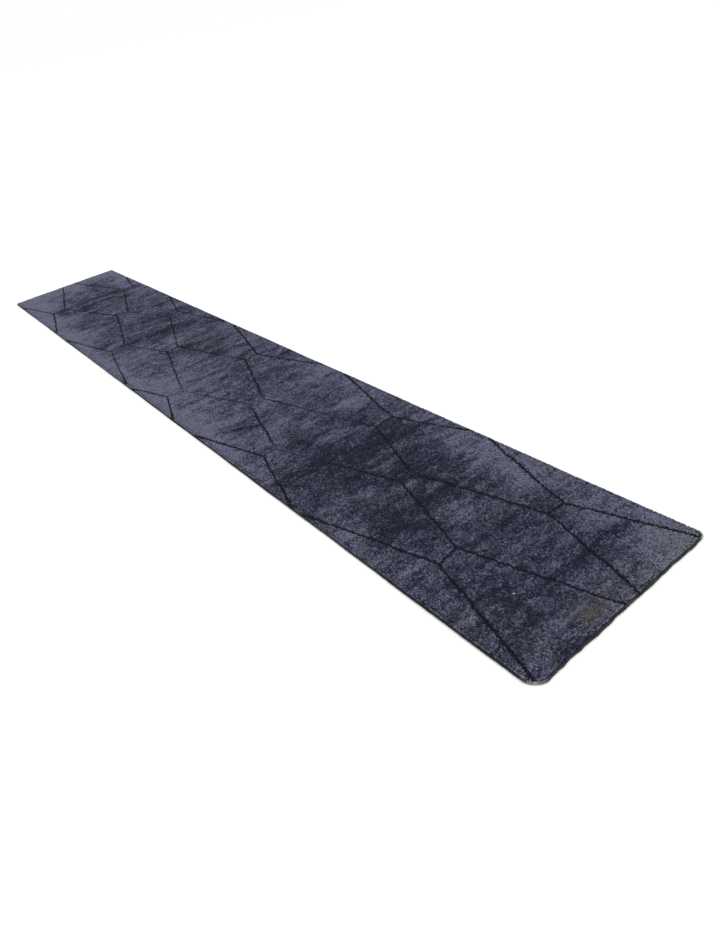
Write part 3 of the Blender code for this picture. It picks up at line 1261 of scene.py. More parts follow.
@dataclass(frozen=True)
class Tuft:
    """One tuft of cut pile: it widens from its knot to a shoulder and closes to a low tip.

    Attributes:
        sides: Points of the shoulder.
        shoulder: Radius of the shoulder.
        shoulder_rise: Height of the shoulder, as a share of the tuft's.
        height: From the knot to the tip.
        uneven: How much heights differ from tuft to tuft, as a share.
        lowest: The least a tuft's height may be, as a share of the height above.
        highest: The most it may be.
        ragged: How much the shoulder's points differ in radius and height, as a share.
        lean: How far a tip leans, on brushed pile.
        tousle: How far single tips stray from that.
        splay: How far a tip leans out over the whipped edge.
        splay_depth: How deep inside the rug the splay fades out.
        side_overhang: Distance of the outermost tips from the outline along the sides.
        end_overhang: The same along the ends.
    """

    sides: int = 5
    shoulder: float = 0.0036
    shoulder_rise: float = 0.80
    height: float = 0.0092
    uneven: float = 0.05
    lowest: float = 0.85
    highest: float = 1.12
    ragged: float = 0.16
    lean: float = 0.0022
    tousle: float = 0.0009
    splay: float = 0.0050
    splay_depth: float = 0.016
    side_overhang: float = 0.0040
    end_overhang: float = 0.0092

    def heads(self, knots: Knots, outline: Outline, rng: np.random.Generator) -> Array:
        """Where each tip leans: with the nap, brushed here and there, and out along the sides.

        No tip may reach out past the overhang, and the outermost ones all reach it.

        Args:
            knots: The knots with tufts on.
            outline: The rug's outline.
            rng: Gives the random shares.

        Returns:
            Each tip's level distance from its knot, one row each.
        """
        x, y = knots.x, knots.y
        brushed = np.stack([Cloud(0.06, 0.05, 31).at(x, y), Cloud(0.06, 0.05, 32).at(x, y)], 1)
        nap = np.array([0.0, -0.5]) + 0.8 * brushed
        out = outline.outwards(x, y)
        at_side = out[:, 0] ** 2
        fade = 1 - eased((outline.depth(x, y) - ROLL_WIDTH) / self.splay_depth)
        heads = self.lean * nap + (self.splay * fade * at_side)[:, None] * out
        heads = heads + rng.normal(0, self.tousle, heads.shape)
        overhang = self.end_overhang + (self.side_overhang - self.end_overhang) * at_side
        short = overhang - outline.depth(x + heads[:, 0], y + heads[:, 1])
        pulled = np.where(knots.outermost, short, np.maximum(short, 0))
        return heads - pulled[:, None] * out

    def points(self, knots: Knots, outline: Outline, seed: int) -> tuple[Array, Array]:
        """Points of all the tufts: the knot, the shoulder's and the tip.

        The shoulder's points lie round the tuft's stem. The stem leans with the square of its
        rise.

        Args:
            knots: The knots to put tufts on.
            outline: The rug's outline.
            seed: Picks the random shares.

        Returns:
            Places of the points, by tuft and point, and each point's rise from 0 to 1.
        """
        rng = np.random.default_rng(seed)
        count = len(knots)
        rise = np.repeat([0.0, self.shoulder_rise, 1.0], [1, self.sides, 1])
        radius = np.repeat([0.0, self.shoulder, 0.0], [1, self.sides, 1])
        angle = np.pad(np.arange(self.sides) * 2 * math.pi / self.sides, 1)
        ragged = rng.uniform(-self.ragged, self.ragged, (2, count, len(radius)))
        radius = radius * (1 + ragged[0])
        angle = angle + rng.uniform(0, 2 * math.pi, (count, 1))
        uneven = rng.normal(1, self.uneven, (count, 1)).clip(self.lowest, self.highest)
        height = self.height * uneven
        stem = self.heads(knots, outline, rng)[:, None, :] * (rise**2)[None, :, None]
        x = knots.x[:, None] + stem[..., 0] + radius * np.cos(angle)
        y = knots.y[:, None] + stem[..., 1] + radius * np.sin(angle)
        z = FOUNDATION_THICKNESS + GAP + height * rise * (1 + 0.5 * ragged[1] * (rise < 1))
        return np.stack([x, y, z], axis=2), rise

    def faces(self) -> Array:
        """The triangles of one tuft: from the knot to the shoulder, then on to the tip.

        Returns:
            The points of each triangle, one row each.
        """
        here = np.arange(self.sides) + 1
        following = here % self.sides + 1
        lower = np.stack([following, here, here * 0], 1)
        return np.concatenate([lower, np.stack([here, following, here * 0 + self.sides + 1], 1)])

    def strands(self, knots: Knots, seed: int) -> Array:
        """Flat places of the faces' corners: share of the way round the tuft, and rise.

        Args:
            knots: The knots with tufts on.
            seed: Picks where on the map each tuft lies.

        Returns:
            The places, by tuft, face and corner.
        """
        here = np.arange(self.sides)
        lower = np.stack([here + 1, here, here + 0.5], 1)
        around = np.concatenate([lower, np.stack([here, here + 1, here + 0.5], 1)]) / self.sides
        shoulder = [self.shoulder_rise] * 2
        rise = np.repeat([[*shoulder, 0.0], [*shoulder, 1.0]], self.sides, axis=0)
        shift = np.random.default_rng(seed).uniform(0, 50, (len(knots), 1, 1, 2)).round(1)
        return np.stack([around, rise], 2) + shift

    def opened(self, knots: Knots, spread: float) -> Array:
        """Flat places of the faces' corners, each tuft opened like a flower, tip in the middle.

        Args:
            knots: The knots with tufts on.
            spread: Distance between neighbouring flowers.

        Returns:
            The places, by tuft, face and corner.
        """
        part = 2 * math.pi / self.sides
        here = np.arange(self.sides) * part
        lower = np.stack([here + part, here, here + part / 2], 1)
        angle = np.concatenate([lower, np.stack([here, here + part, here], 1)])
        radius = np.repeat([[0.40, 0.40, 0.50], [0.40, 0.40, 0.0]], self.sides, axis=0) * spread
        flower = np.stack([radius * np.cos(angle), radius * np.sin(angle)], 2)
        return np.stack([knots.x, knots.y], 1)[:, None, None, :] + flower


class Pile:
    """All the rug's pile, one piece for each field and each run of line."""

    # share of the fields' tone that the drawn lines' wool takes
    LINE_TONE = 0.12

    def __init__(self, frame: dict[str, Any], outline: Outline, lie: Lie) -> None:
        """Tie the knots.

        Args:
            frame: The loaded frame.
            outline: The rug's outline.
            lie: How the rug lies.
        """
        self.outline, self.lie = outline, lie
        self.rows, self.tuft, self.dyeing = KnotRows(), Tuft(), Dyeing()
        names = sorted(n for n in frame["nodes"] if n.startswith(("pile_", "design_")))
        self.plan = Plan(frame["nodes"], names)
        self.knots = self.rows.tie(outline, self.plan)
        self.pieces: list[bpy.types.Object] = []
        self.ground = PileWool(
            "ground_wool",
            "ground_wool",
            deep=(0.0060, 0.0080, 0.0260),
            pale=(0.1670, 0.1730, 0.2590),
        )
        self.design = PileWool(
            "design_wool",
            "design_wool",
            deep=(0.0030, 0.0036, 0.0085),
            pale=(0.0700, 0.0730, 0.1100),
            fuzz=0.02,
        )

    def build(self) -> None:
        """Build every piece of pile."""
        materials = {wool.slot: wool.make() for wool in (self.ground, self.design)}
        for index, name in enumerate(self.plan.names):
            wool = self.design if name.startswith("design_") else self.ground
            self.pieces.append(self._piece(name, index, materials[wool.slot]))
            dress(self.pieces[-1], name)

    def drawn(self, x: Array, y: Array) -> Array:
        """1 at places on a drawn line and 0 elsewhere."""
        lines = [name.startswith("design_") for name in self.plan.names]
        return np.array(lines, float)[self.plan.sort(x, y)]

    def _piece(self, name: str, index: int, material: bpy.types.Material) -> bpy.types.Object:
        """Build the tufts of one solid as one mesh.

        Args:
            name: The solid's node.
            index: Its index in the plan.
            material: The tufts' finish.

        Returns:
            The piece.
        """
        knots = self.knots.of(index)
        points, rise = self.tuft.points(knots, self.outline, seed=100 + index)
        per_tuft = points.shape[1]
        first = np.arange(len(knots))[:, None, None] * per_tuft
        faces = (first + self.tuft.faces()).reshape(-1, 3)
        dye = self.dyeing.at(knots.x, knots.y, seed=200 + index)
        faded = dye.pop("faded")
        if name.startswith("design_"):
            dye["tone"] = np.clip(self.LINE_TONE * dye["tone"] + faded, 0, 1)
        numbers = {label: np.repeat(values, per_tuft) for label, values in dye.items()}
        numbers["rise"] = np.tile(rise, len(knots))
        opened = self.tuft.opened(knots, self.rows.across).reshape(-1, 2)
        skin = Skin(
            points=self.lie.settle(points).reshape(-1, 3),
            corners=faces.ravel(),
            sizes=np.full(len(faces), 3),
            numbers=numbers,
            maps={
                "strands": self.tuft.strands(knots, seed=400 + index).reshape(-1, 2),
                PAINT_MAP: onto_unit(opened),
            },
        )
        return skin.make(name + "_tufts", material)


# ---------------------------------------------------------------------------------------------
# The foundation
# ---------------------------------------------------------------------------------------------
@dataclass(frozen=True)
class Foundation:
    """The woven sheet under the pile. Its underside shows the backs of the knots.

    Attributes:
        knot: Size of a knot's back.
        cell: Size of the underside's faces.
        relief: How far every other corner of theirs stands proud.
        top_columns: Columns of faces on its top, which the pile hides.
        round_rows: Distances from an end of extra rows that round the corners.
        rows_to_fold: Rows in each of the strips that the paint map lays side by side.
    """

    knot: float = 0.0053
    cell: float = 0.0070
    relief: float = 0.0004
    top_columns: int = 12
    round_rows: tuple[float, ...] = (0.0, 0.0004, 0.0012, 0.0025, 0.0045)
    rows_to_fold: int = 235

    def build(self, outline: Outline, lie: Lie, pile: Pile) -> bpy.types.Object:
        """Build the sheet.

        Args:
            outline: The rug's outline.
            lie: How the rug lies.
            pile: The pile knotted on the sheet.

        Returns:
            The sheet's piece.
        """
        inset = ROLL_WIDTH + GAP
        rows = self._rows(outline.length / 2 - inset)
        columns = round((outline.width - 2 * inset) / self.cell)
        under = self._grid(outline, rows, columns)
        over = self._grid(outline, rows, self.top_columns)
        proud = np.add.outer(np.arange(len(rows)), np.arange(columns + 1)) % 2
        under = np.dstack([under, self.relief * proud])
        over = np.dstack([over, np.full(over.shape[:2], FOUNDATION_THICKNESS)])
        points = np.concatenate([under.reshape(-1, 3), over.reshape(-1, 3)])
        skin = Skin(
            points=lie.settle(points),
            numbers=self._numbers(points, pile),
            **self._faces(points, len(rows), columns),
        )
        return skin.make("foundation_sheet", WovenGround().make())

    def _rows(self, half_length: float) -> Array:
        """Space out the rows of points, closer where the corners are round.

        Args:
            half_length: Distance of the ends from the rug's middle.

        Returns:
            The rows' places along the rug.
        """
        near = np.array(self.round_rows) - half_length
        count = round(2 * half_length / self.cell)
        between = np.linspace(-half_length, half_length, count + 1)[1:-1]
        return np.concatenate([near, between, -near[::-1]])

    @staticmethod
    def _drawn_in(rows: Array, near_radius: float, far_radius: float) -> Array:
        """How far rows are drawn in from a side where its two corners are round.

        With r the corner's radius and d the row's distance from the end, it is
        r - sqrt(r^2 - (r - d)^2) while d is less than r.

        Args:
            rows: The rows' places along the rug.
            near_radius: Radius of the side's near corner.
            far_radius: Radius of its far corner.

        Returns:
            The distance for each row.
        """
        radius = np.where(rows < 0, near_radius, far_radius)
        short = np.maximum(radius - (rows[-1] - np.abs(rows)), 0)
        return radius - np.sqrt(radius**2 - short**2)

    def _grid(self, outline: Outline, rows: Array, columns: int) -> Array:
        """Lay out level places in rows.

        Args:
            outline: The rug's outline.
            rows: The rows' places along the rug.
            columns: Faces between the two sides.

        Returns:
            The places, by row and column.
        """
        inset = ROLL_WIDTH + GAP
        radii = [radius - inset for radius in (outline.near_left, outline.near_right, outline.far)]
        left = -outline.width / 2 + inset + self._drawn_in(rows, radii[0], radii[2])
        right = outline.width / 2 - inset - self._drawn_in(rows, radii[1], radii[2])
        share = np.linspace(0, 1, columns + 1)
        x = left[:, None] + share * (right - left)[:, None]
        return np.dstack([x, np.broadcast_to(rows[:, None], x.shape)])

    def _faces(self, points: Array, rows: int, columns: int) -> dict[str, Any]:
        """Make the faces of the underside, the top, the two long sides and the two ends.

        On the paint map the underside is folded into strips, and the rest lies above them.

        Args:
            points: Every point, the underside's first.
            rows: Rows of points.
            columns: The underside's faces between the two sides.

        Returns:
            What Skin takes as corners, sizes and maps.
        """
        under, under_places = patchwork(rows, columns + 1)
        over, over_places = patchwork(rows, self.top_columns + 1)
        top = rows * (columns + 1)
        row = np.arange(rows)
        left = np.stack([row * (columns + 1), top + row * (self.top_columns + 1)], 1)
        right = left[:, ::-1] + (self.top_columns, columns)
        wall, wall_places = patchwork(rows, 2)
        sides = [left.ravel()[wall], right.ravel()[wall]]
        near = np.append(np.arange(columns + 1), top + np.arange(self.top_columns + 1)[::-1])
        last = (rows - 1) * (columns + 1), (rows - 1) * (self.top_columns + 1)
        far = np.concatenate([near[: columns + 1] + last[0], near[columns + 1 :] + last[1]])[::-1]
        places = [
            under_places[:, ::-1],
            over_places * (1, 0.5) + (0, 3.3 * columns),
            wall_places * (1, 3) + (0, 3.6 * columns),
            wall_places * (1, 3) + (0, 3.7 * columns),
        ]
        paint = [folded(places[0], self.rows_to_fold, columns)]
        shrink = self.rows_to_fold / rows
        paint += [part * (shrink, 1) for part in places[1:]]
        ends = [points[part][:, ::2] * (150, 900) for part in (near, far)]
        paint += [ends[k] + (self.rows_to_fold / 2, (3.8 + 0.1 * k) * columns) for k in (0, 1)]
        knots = [part.reshape(-1, 2)[:, ::-1] for part in places] + ends
        faces = [under[:, ::-1], over + top, *sides, near[None], far[None]]
        return {
            "corners": np.concatenate([part.ravel() for part in faces]),
            "sizes": np.concatenate([np.full(len(part), part.shape[1]) for part in faces]),
            "maps": {
                "knots": np.concatenate(knots) * self.cell / self.knot,
                PAINT_MAP: onto_unit(np.concatenate([part.reshape(-1, 2) for part in paint])),
            },
        }

    @staticmethod
    def _numbers(points: Array, pile: Pile) -> dict[str, Array]:
        """Look up the pile over each point.

        Args:
            points: The points.
            pile: The pile.

        Returns:
            The numbers "design", 1 under a drawn line, and "tone", the shade of the wool.
        """
        x, y = points[:, 0], points[:, 1]
        dye = pile.dyeing.at(x, y, seed=300)
        return {"design": pile.drawn(x, y), "tone": 0.6 + 0.8 * dye["tone"]}


# ---------------------------------------------------------------------------------------------
# The whipped edges
# ---------------------------------------------------------------------------------------------
class Route:
    """A level path along an edge, travelled with the rug's middle on its left."""

    def __init__(self, stops: list[Array]) -> None:
        """Join stops.

        Args:
            stops: Places on the way, one row each, in groups.
        """
        self.stops = np.concatenate(stops)
        self.travelled = np.append(0.0, np.cumsum(np.hypot(*np.diff(self.stops, axis=0).T)))
        self.length = float(self.travelled[-1])

    def place(self, travelled: Array) -> Array:
        """Places at lengths travelled."""
        parts = [np.interp(travelled, self.travelled, part) for part in self.stops.T]
        return np.stack(parts, axis=-1)

    def inwards(self, travelled: Array) -> Array:
        """The level direction to the rug's middle, square to the path.

        Args:
            travelled: Lengths travelled.

        Returns:
            The directions, on the last axis.
        """
        step = 0.0005
        ahead = self.place(travelled + step) - self.place(travelled - step)
        ahead = ahead / np.hypot(ahead[..., :1], ahead[..., 1:])
        return np.stack([-ahead[..., 1], ahead[..., 0]], axis=-1)

    def oval(
        self, travelled: Array, angle: Array, width: Array, height: Array, middle: float
    ) -> Array:
        """Points of an oval profile swept along the path.

        At the angle a they are cos(a) width / 2 inwards and sin(a) height / 2 above the middle.

        Args:
            travelled: Length travelled to each point.
            angle: Its angle in the profile, from the inner side upwards.
            width: Width of the profile there.
            height: Height of the profile there.
            middle: Height of the profile's middle above the floor.

        Returns:
            Places of the points, kept above the floor.
        """
        aside = (np.cos(angle) * width / 2)[..., None] * self.inwards(travelled)
        z = np.maximum(middle + np.sin(angle) * height / 2, 0.0)
        return np.dstack([self.place(travelled) + aside, z])


def quarter_turn(middle: tuple[float, float], radius: float, start: float) -> Array:
    """Lay stops round a quarter turn, anticlockwise.

    Args:
        middle: Its middle.
        radius: Its radius.
        start: The angle it starts at, in degrees.

    Returns:
        The stops, one row each.
    """
    angle = np.radians(start + np.linspace(0, 90, 31))
    return np.array(middle) + radius * np.stack([np.cos(angle), np.sin(angle)], 1)


def edge_routes(outline: Outline) -> dict[str, Route]:
    """Lay the routes along the middles of the four whipped edges.

    Args:
        outline: The rug's outline.

    Returns:
        The routes, by the edge's name.
    """
    inset = ROLL_WIDTH / 2
    right, far = outline.width / 2, outline.length / 2
    corners = (
        (-1, -1, outline.near_left, 180),
        (1, -1, outline.near_right, 270),
        (1, 1, outline.far, 0),
        (-1, 1, outline.far, 90),
    )
    bends = [
        quarter_turn((side * (right - radius), end * (far - radius)), radius - inset, start)
        for side, end, radius, start in corners
    ]
    near_bends, far_bends = bends[:2], bends[2:]
    lead = np.array([[0.0, END_ROLL_LEAD]])
    clear = END_ROLL_LEAD + GAP
    far_stop = far - outline.far - clear
    left_stops = [(inset - right, far_stop), (inset - right, outline.near_left + clear - far)]
    right_stops = [(right - inset, outline.near_right + clear - far), (right - inset, far_stop)]
    return {
        "near_end": Route([near_bends[0][:1] + lead, *near_bends, near_bends[1][-1:] + lead]),
        "far_end": Route([far_bends[0][:1] - lead, *far_bends, far_bends[1][-1:] - lead]),
        "left_selvedge": Route([np.array(left_stops)]),
        "right_selvedge": Route([np.array(right_stops)]),
    }


@dataclass(frozen=True)
class Worn:
    """A place where the whipping is worn pale.

    Attributes:
        middle: Across and along the rug.
        reach: How far from its middle it fades out.
        strength: From 0 to 1.
    """

    middle: tuple[float, float]
    reach: float
    strength: float


WORN_PLACES = (
    Worn((0.372, -2.430), 0.030, 1.00),
    Worn((-0.365, -2.425), 0.045, 0.70),
    Worn((0.372, 2.430), 0.050, 0.80),
    Worn((-0.372, 2.430), 0.045, 0.80),
    Worn((0.378, -2.350), 0.050, 0.30),
    Worn((0.000, 2.435), 0.300, 0.35),
    Worn((-0.378, 0.600), 0.450, 0.35),
    Worn((-0.378, 1.800), 0.400, 0.25),
    Worn((-0.378, -1.500), 0.500, 0.15),
)


@dataclass(frozen=True)
class Whipping:
    """Turns of yarn side by side round a cord.

    Attributes:
        height: Of the roll.
        cord: Diameter of the cord inside.
        lumps: How much the roll swells and shrinks on its outer side, as a share.
        rings: Rings of points to a turn.
        around: Points of a ring.
        pitch: Width of a turn.
        groove: Depth of the groove between turns, on the diameter.
        slant: How far a turn runs on from its inner to its outer side.
        fade: Length over which the slant fades at the roll's ends.
        bore_step: Rings outside to one ring of the bore.
        lumpiness: Lumps along the roll, from -1 to 1.
        shade_spread: How much turns differ in shade.
        shades: The least and the greatest shade a turn may have.
        soiling: How pale the whole roll is worn.
    """

    height: float
    cord: float
    lumps: float
    rings: int
    around: int
    pitch: float = 0.0040
    groove: float = 0.0013
    slant: float = 0.0020
    fade: float = 0.0080
    bore_step: int = 8
    lumpiness: Layers = Layers(0.0, ((0.6, Cloud(0.017, 1.0, 41)), (0.4, Cloud(0.006, 1.0, 42))))
    shade_spread: float = 0.22
    shades: tuple[float, float] = (0.4, 1.7)
    soiling: Layers = Layers(0.03, ((0.05, Cloud(0.03, 0.03, 44)),))

    def build(
        self, name: str, route: Route, lie: Lie, material: bpy.types.Material
    ) -> bpy.types.Object:
        """Build the sleeve of turns, open at both ends where the cord shows.

        A ring at the share u of its turn, from -1 to 1, is thinner than the roll by the groove
        times 1 - sqrt(1 - u^2), but not on its inner side.

        Args:
            name: The piece's name.
            route: Its path.
            lie: How the rug lies.
            material: Its finish.

        Returns:
            The piece.
        """
        turns = round(route.length / self.pitch)
        count = turns * self.rings
        share = (np.arange(self.rings) + 0.5) / self.rings
        along = (np.arange(turns)[:, None] + share).ravel() * route.length / turns
        along[0], along[-1] = 0.0, route.length
        angle = np.arange(self.around) * 2 * math.pi / self.around
        outer_share = 0.5 - 0.5 * np.cos(angle)
        thinner = self.groove * (1 - np.sqrt(1 - (2 * share - 1) ** 2))
        thinner = np.tile(thinner, turns)[:, None] * np.sqrt(outer_share)
        fade = np.clip(np.minimum(along, route.length - along) / self.fade, 0, 1)[:, None]
        travelled = along[:, None] - self.slant / 2 * fade * np.cos(angle)
        angle = np.broadcast_to(angle, travelled.shape)
        lumpiness = self.lumpiness.at(along, along * 0)[:, None]
        swollen = 1 + self.lumps * lumpiness * outer_share
        width, height = (ROLL_WIDTH - thinner) * swollen, (self.height - thinner) * swollen
        outer = route.oval(travelled, angle, width, height, self.height / 2)
        bore = np.append(np.arange(0, count - 1, self.bore_step), count - 1)
        hole = np.full((len(bore), self.around), self.cord + 2 * GAP)
        inner = route.oval(travelled[bore], angle[bore], hole, hole, self.height / 2)
        points = np.concatenate([outer, inner]).reshape(-1, 3)
        skin = Skin(
            points=lie.settle(points),
            numbers=self._numbers(points, turns, count),
            **self._faces(count, len(bore), route.length),
        )
        return skin.make(name, material)

    def _faces(self, rings: int, bore_rings: int, length: float) -> dict[str, Any]:
        """Make the faces of the outside, the bore and the two rims.

        On the paint map the outside is folded into rows, and the rest lies above them.

        Args:
            rings: Rings of points outside.
            bore_rings: Rings of the bore.
            length: Length of the roll.

        Returns:
            What Skin takes as corners, sizes and maps.
        """
        outside, outside_places = patchwork(rings, self.around, closed=True)
        bore, bore_places = patchwork(bore_rings, self.around, closed=True)
        bore = bore[:, ::-1] + rings * self.around
        bore_places = bore_places[:, ::-1] * (rings / bore_rings, 1)
        here = np.arange(self.around)
        start = np.stack([here, rings * self.around + here], 1)
        last = rings + bore_rings - 1, rings - 1
        end = np.stack([last[0] * self.around + here, last[1] * self.around + here], 1)
        rim, rim_places = patchwork(self.around, 2)
        rim = np.concatenate([rim, [[2 * self.around - 2, 2 * self.around - 1, 1, 0]]])
        rim_places = np.concatenate([rim_places, rim_places[-1:] + (1, 0)])
        rims = [start.ravel()[rim], end.ravel()[rim]]
        rows = round(math.sqrt(length / (math.pi * self.height)))
        row_length = math.ceil(rings / rows)
        above = ROW_RISE * rows
        paint = [
            folded(outside_places, row_length, self.around),
            bore_places * (row_length / rings, 0.2) + (0, (above + 0.3) * self.around),
            rim_places * (4, 1) + (0, (above + 0.6) * self.around),
            rim_places * (4, 1) + (6 * self.around, (above + 0.6) * self.around),
        ]
        places = [outside_places, bore_places, rim_places, rim_places]
        turns = np.concatenate([part.reshape(-1, 2) for part in places])
        faces = [outside, bore, *rims]
        return {
            "corners": np.concatenate([part.ravel() for part in faces]),
            "sizes": np.full(sum(len(part) for part in faces), 4),
            "maps": {
                "turns": turns / (self.rings, self.around),
                PAINT_MAP: onto_unit(np.concatenate([part.reshape(-1, 2) for part in paint])),
            },
        }

    def _numbers(self, points: Array, turns: int, count: int) -> dict[str, Array]:
        """Shade the yarn.

        Args:
            points: Every point, the outside's rings first.
            turns: Number of turns.
            count: Number of rings outside.

        Returns:
            The numbers "tone", which differs from turn to turn, and "wear", how pale it is worn.
        """
        x, y = points[:, 0], points[:, 1]
        shades = np.random.default_rng(43).normal(1, self.shade_spread, turns)
        shades = shades.clip(*self.shades)
        tone = np.ones(len(points))
        tone[: count * self.around] = np.repeat(shades, self.rings * self.around)
        wear = self.soiling.at(x, y)
        for worn in WORN_PLACES:
            away = np.hypot(x - worn.middle[0], y - worn.middle[1]) / worn.reach
            wear = wear + worn.strength * (1 - eased(away))
        return {"tone": tone, "wear": np.clip(wear * tone, 0, 1)}


@dataclass(frozen=True)
class Cord:
    """Three strands of cotton twisted together.

    Attributes:
        diameter: Of the cord.
        lay: Length in which a strand goes once round.
        groove: Depth between strands, as a share of the radius.
        step: Distance between rings of points.
        around: Points of a ring.
    """

    diameter: float
    lay: float = 0.018
    groove: float = 0.22
    step: float = 0.003
    around: int = 9

    def build(
        self, name: str, route: Route, middle: float, lie: Lie, material: bpy.types.Material
    ) -> bpy.types.Object:
        """Build the cord, its width swelling and shrinking with |sin| of 1.5 times the turn.

        Args:
            name: The piece's name.
            route: Its path.
            middle: Height of its middle above the floor.
            lie: How the rug lies.
            material: Its finish.

        Returns:
            The piece.
        """
        rings = round(route.length / self.step) + 1
        travelled = np.repeat(np.linspace(0, route.length, rings)[:, None], self.around, 1)
        angle = np.arange(self.around) * 2 * math.pi / self.around + travelled * 0
        strand = np.abs(np.sin(1.5 * (angle - 2 * math.pi * travelled / self.lay)))
        width = self.diameter * (1 - self.groove * (1 - strand))
        points = route.oval(travelled, angle, width, width, middle).reshape(-1, 3)
        outside, places = patchwork(rings, self.around, closed=True)
        start = np.arange(self.around)[::-1]
        end = start[::-1] + (rings - 1) * self.around
        rows = round(math.sqrt(route.length / (math.pi * self.diameter)))
        row_length = math.ceil(rings / rows)
        paint = folded(places, row_length, self.around).reshape(-1, 2)
        turn = 2 * math.pi * start / self.around
        above = (ROW_RISE * rows + 0.5) * self.around
        cap = 2 * np.stack([np.cos(turn), np.sin(turn)], 1) + (3, above)
        skin = Skin(
            points=lie.settle(points),
            corners=np.concatenate([outside.ravel(), start, end]),
            sizes=np.append(np.full(len(outside), 4), [self.around, self.around]),
            numbers={},
            maps={PAINT_MAP: onto_unit(np.concatenate([paint, cap, cap[::-1] + (6, 0)]))},
        )
        return skin.make(name, material)


class Edging:
    """The four edges, each a cord whipped over with yarn."""

    END = Whipping(END_ROLL_HEIGHT, END_CORD_DIAMETER, lumps=0.32, rings=6, around=14)
    SIDE = Whipping(SIDE_ROLL_HEIGHT, SIDE_CORD_DIAMETER, lumps=0.16, rings=4, around=10)

    def __init__(self, outline: Outline, lie: Lie) -> None:
        """Lay out the edges.

        Args:
            outline: The rug's outline.
            lie: How the rug lies.
        """
        self.routes, self.lie = edge_routes(outline), lie
        self.pieces: list[bpy.types.Object] = []

    def build(self) -> None:
        """Build every cord and every whipping."""
        yarn, cotton = WhippedYarn(), CordCotton()
        yarn_material, cotton_material = yarn.make(), cotton.make()
        for label, route in self.routes.items():
            whipping = self.END if label.endswith("_end") else self.SIDE
            sleeve = whipping.build(label + "_turns", route, self.lie, yarn_material)
            dress(sleeve, label + "_whipping")
            cord = Cord(whipping.cord)
            middle = whipping.height / 2
            strands = cord.build(label + "_strands", route, middle, self.lie, cotton_material)
            dress(strands, label + "_cord")
            self.pieces += [sleeve, strands]


def dress(piece: bpy.types.Object, node: str) -> None:
    """Let a piece ride on the rug in place of a CAD node, and report it.

    Args:
        piece: The visual piece.
        node: The CAD node it stands for.
    """
    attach(piece, ROOT_BODY)
    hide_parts(node)
    LOG.info("%s: %d faces", piece.name, len(piece.data.polygons))


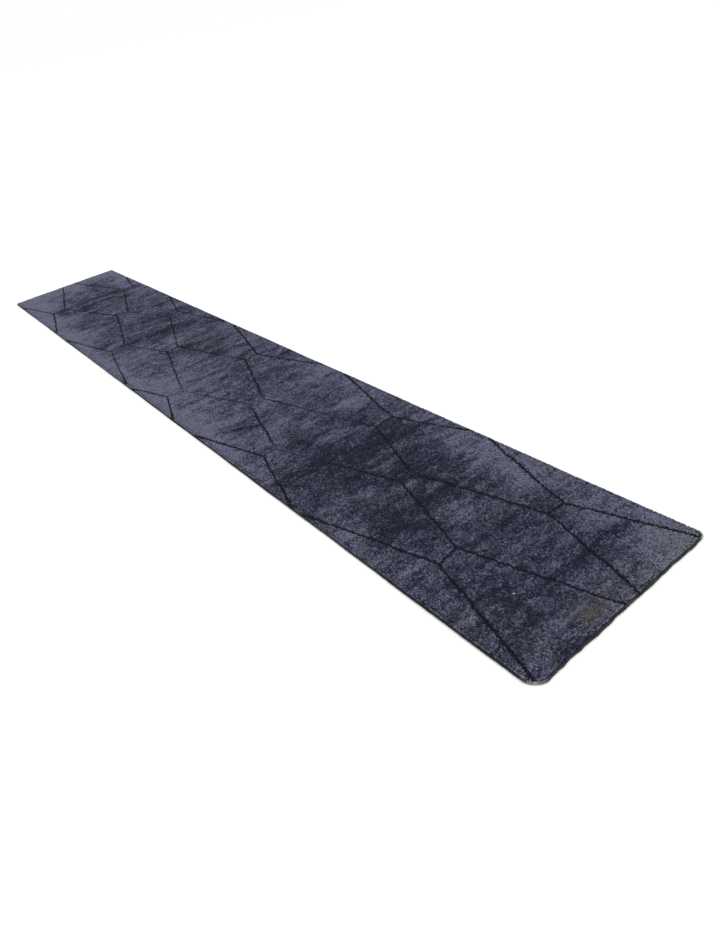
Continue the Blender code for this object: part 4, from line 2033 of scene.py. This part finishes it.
# ---------------------------------------------------------------------------------------------
# The studio
# ---------------------------------------------------------------------------------------------
@dataclass(frozen=True)
class Studio:
    """A white floor, soft light and a camera at the height of a standing person's chest.

    Attributes:
        floor_size: Side of the floor.
        eye: Where the camera is.
        heading: The way it looks, in degrees clockwise from along the rug.
        pitch: How far it looks down, in degrees.
        roll: How far its right side dips, in degrees.
        lens: Its focal length in millimetres.
        surround_strength: Strength of the even light from all round.
        lamp_strength: Strength of the lamp.
        lamp_spread: Width of the lamp, in degrees.
        lamp_heading: Turn of the lamp about the upright, in degrees.
        lamp_slant: Slant of its light from straight down, in degrees.
    """

    floor_size: float = 600.0
    eye: tuple[float, float, float] = (-1.1973, -3.1533, 1.4646)
    heading: float = 32.104
    pitch: float = 33.789
    roll: float = 11.360
    lens: float = 26.640
    surround_strength: float = 1.0
    lamp_strength: float = 1.3
    lamp_spread: float = 70.0
    lamp_heading: float = 60.0
    lamp_slant: float = 30.0

    def build(self) -> None:
        """Build floor, lights and camera."""
        self._floor()
        self._light()
        self._camera()
        LOG.info("studio ready")

    def _floor(self) -> None:
        """A level white floor at the height of the rug's underside."""
        half = self.floor_size / 2
        corners = [(-half, -half, 0), (half, -half, 0), (half, half, 0), (-half, half, 0)]
        mesh = bpy.data.meshes.new(FLOOR_NAME)
        mesh.from_pydata(corners, [], [(0, 1, 2, 3)])
        mesh.materials.append(StudioPaint().make())
        floor = bpy.data.objects.new(FLOOR_NAME, mesh)
        bpy.context.scene.collection.objects.link(floor)
        floor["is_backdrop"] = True

    def _light(self) -> None:
        """An even white surround and one broad soft lamp, slanting down from the left."""
        world = bpy.data.worlds.new("studio_surround")
        world.use_nodes = True
        surround = world.node_tree.nodes["Background"]
        surround.inputs["Color"].default_value = (1.0, 1.0, 1.0, 1.0)
        surround.inputs["Strength"].default_value = self.surround_strength
        bpy.context.scene.world = world
        bpy.context.scene.view_settings.view_transform = "Standard"
        lamp = bpy.data.lights.new("soft_lamp", "SUN")
        lamp.energy = self.lamp_strength
        lamp.angle = math.radians(self.lamp_spread)
        holder = bpy.data.objects.new("soft_lamp", lamp)
        holder.rotation_euler = (math.radians(self.lamp_slant), 0, math.radians(self.lamp_heading))
        bpy.context.scene.collection.objects.link(holder)

    def _camera(self) -> None:
        """A level heading, then the pitch down, then the roll that dips the right side."""
        heading, pitch, roll = (math.radians(a) for a in (self.heading, self.pitch, self.roll))
        forward = Vector(
            (
                math.sin(heading) * math.cos(pitch),
                math.cos(heading) * math.cos(pitch),
                -math.sin(pitch),
            )
        )
        level = Vector((math.cos(heading), -math.sin(heading), 0))
        above = level.cross(forward)
        right = level * math.cos(roll) - above * math.sin(roll)
        up = above * math.cos(roll) + level * math.sin(roll)
        camera = bpy.data.objects.new("camera", bpy.data.cameras.new("camera"))
        camera.data.lens = self.lens
        turn = Matrix((right, up, -forward)).transposed()
        camera.matrix_world = Matrix.Translation(self.eye) @ turn.to_4x4()
        bpy.context.scene.collection.objects.link(camera)
        bpy.context.scene.camera = camera


def main() -> None:
    """Build the rug's looks round the frame."""
    logging.basicConfig(level=logging.INFO, format="%(message)s")
    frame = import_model()
    cad_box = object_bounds()
    low, high = cad_box
    outline = Outline(width=round(high.x - low.x, 4), length=round(high.y - low.y, 4))
    lie = Lie()
    pile = Pile(frame, outline, lie)
    pile.build()
    sheet = Foundation().build(outline, lie, pile)
    dress(sheet, "foundation_weave")
    edging = Edging(outline, lie)
    edging.build()
    Studio().build()


if __name__ == "__main__":
    main()
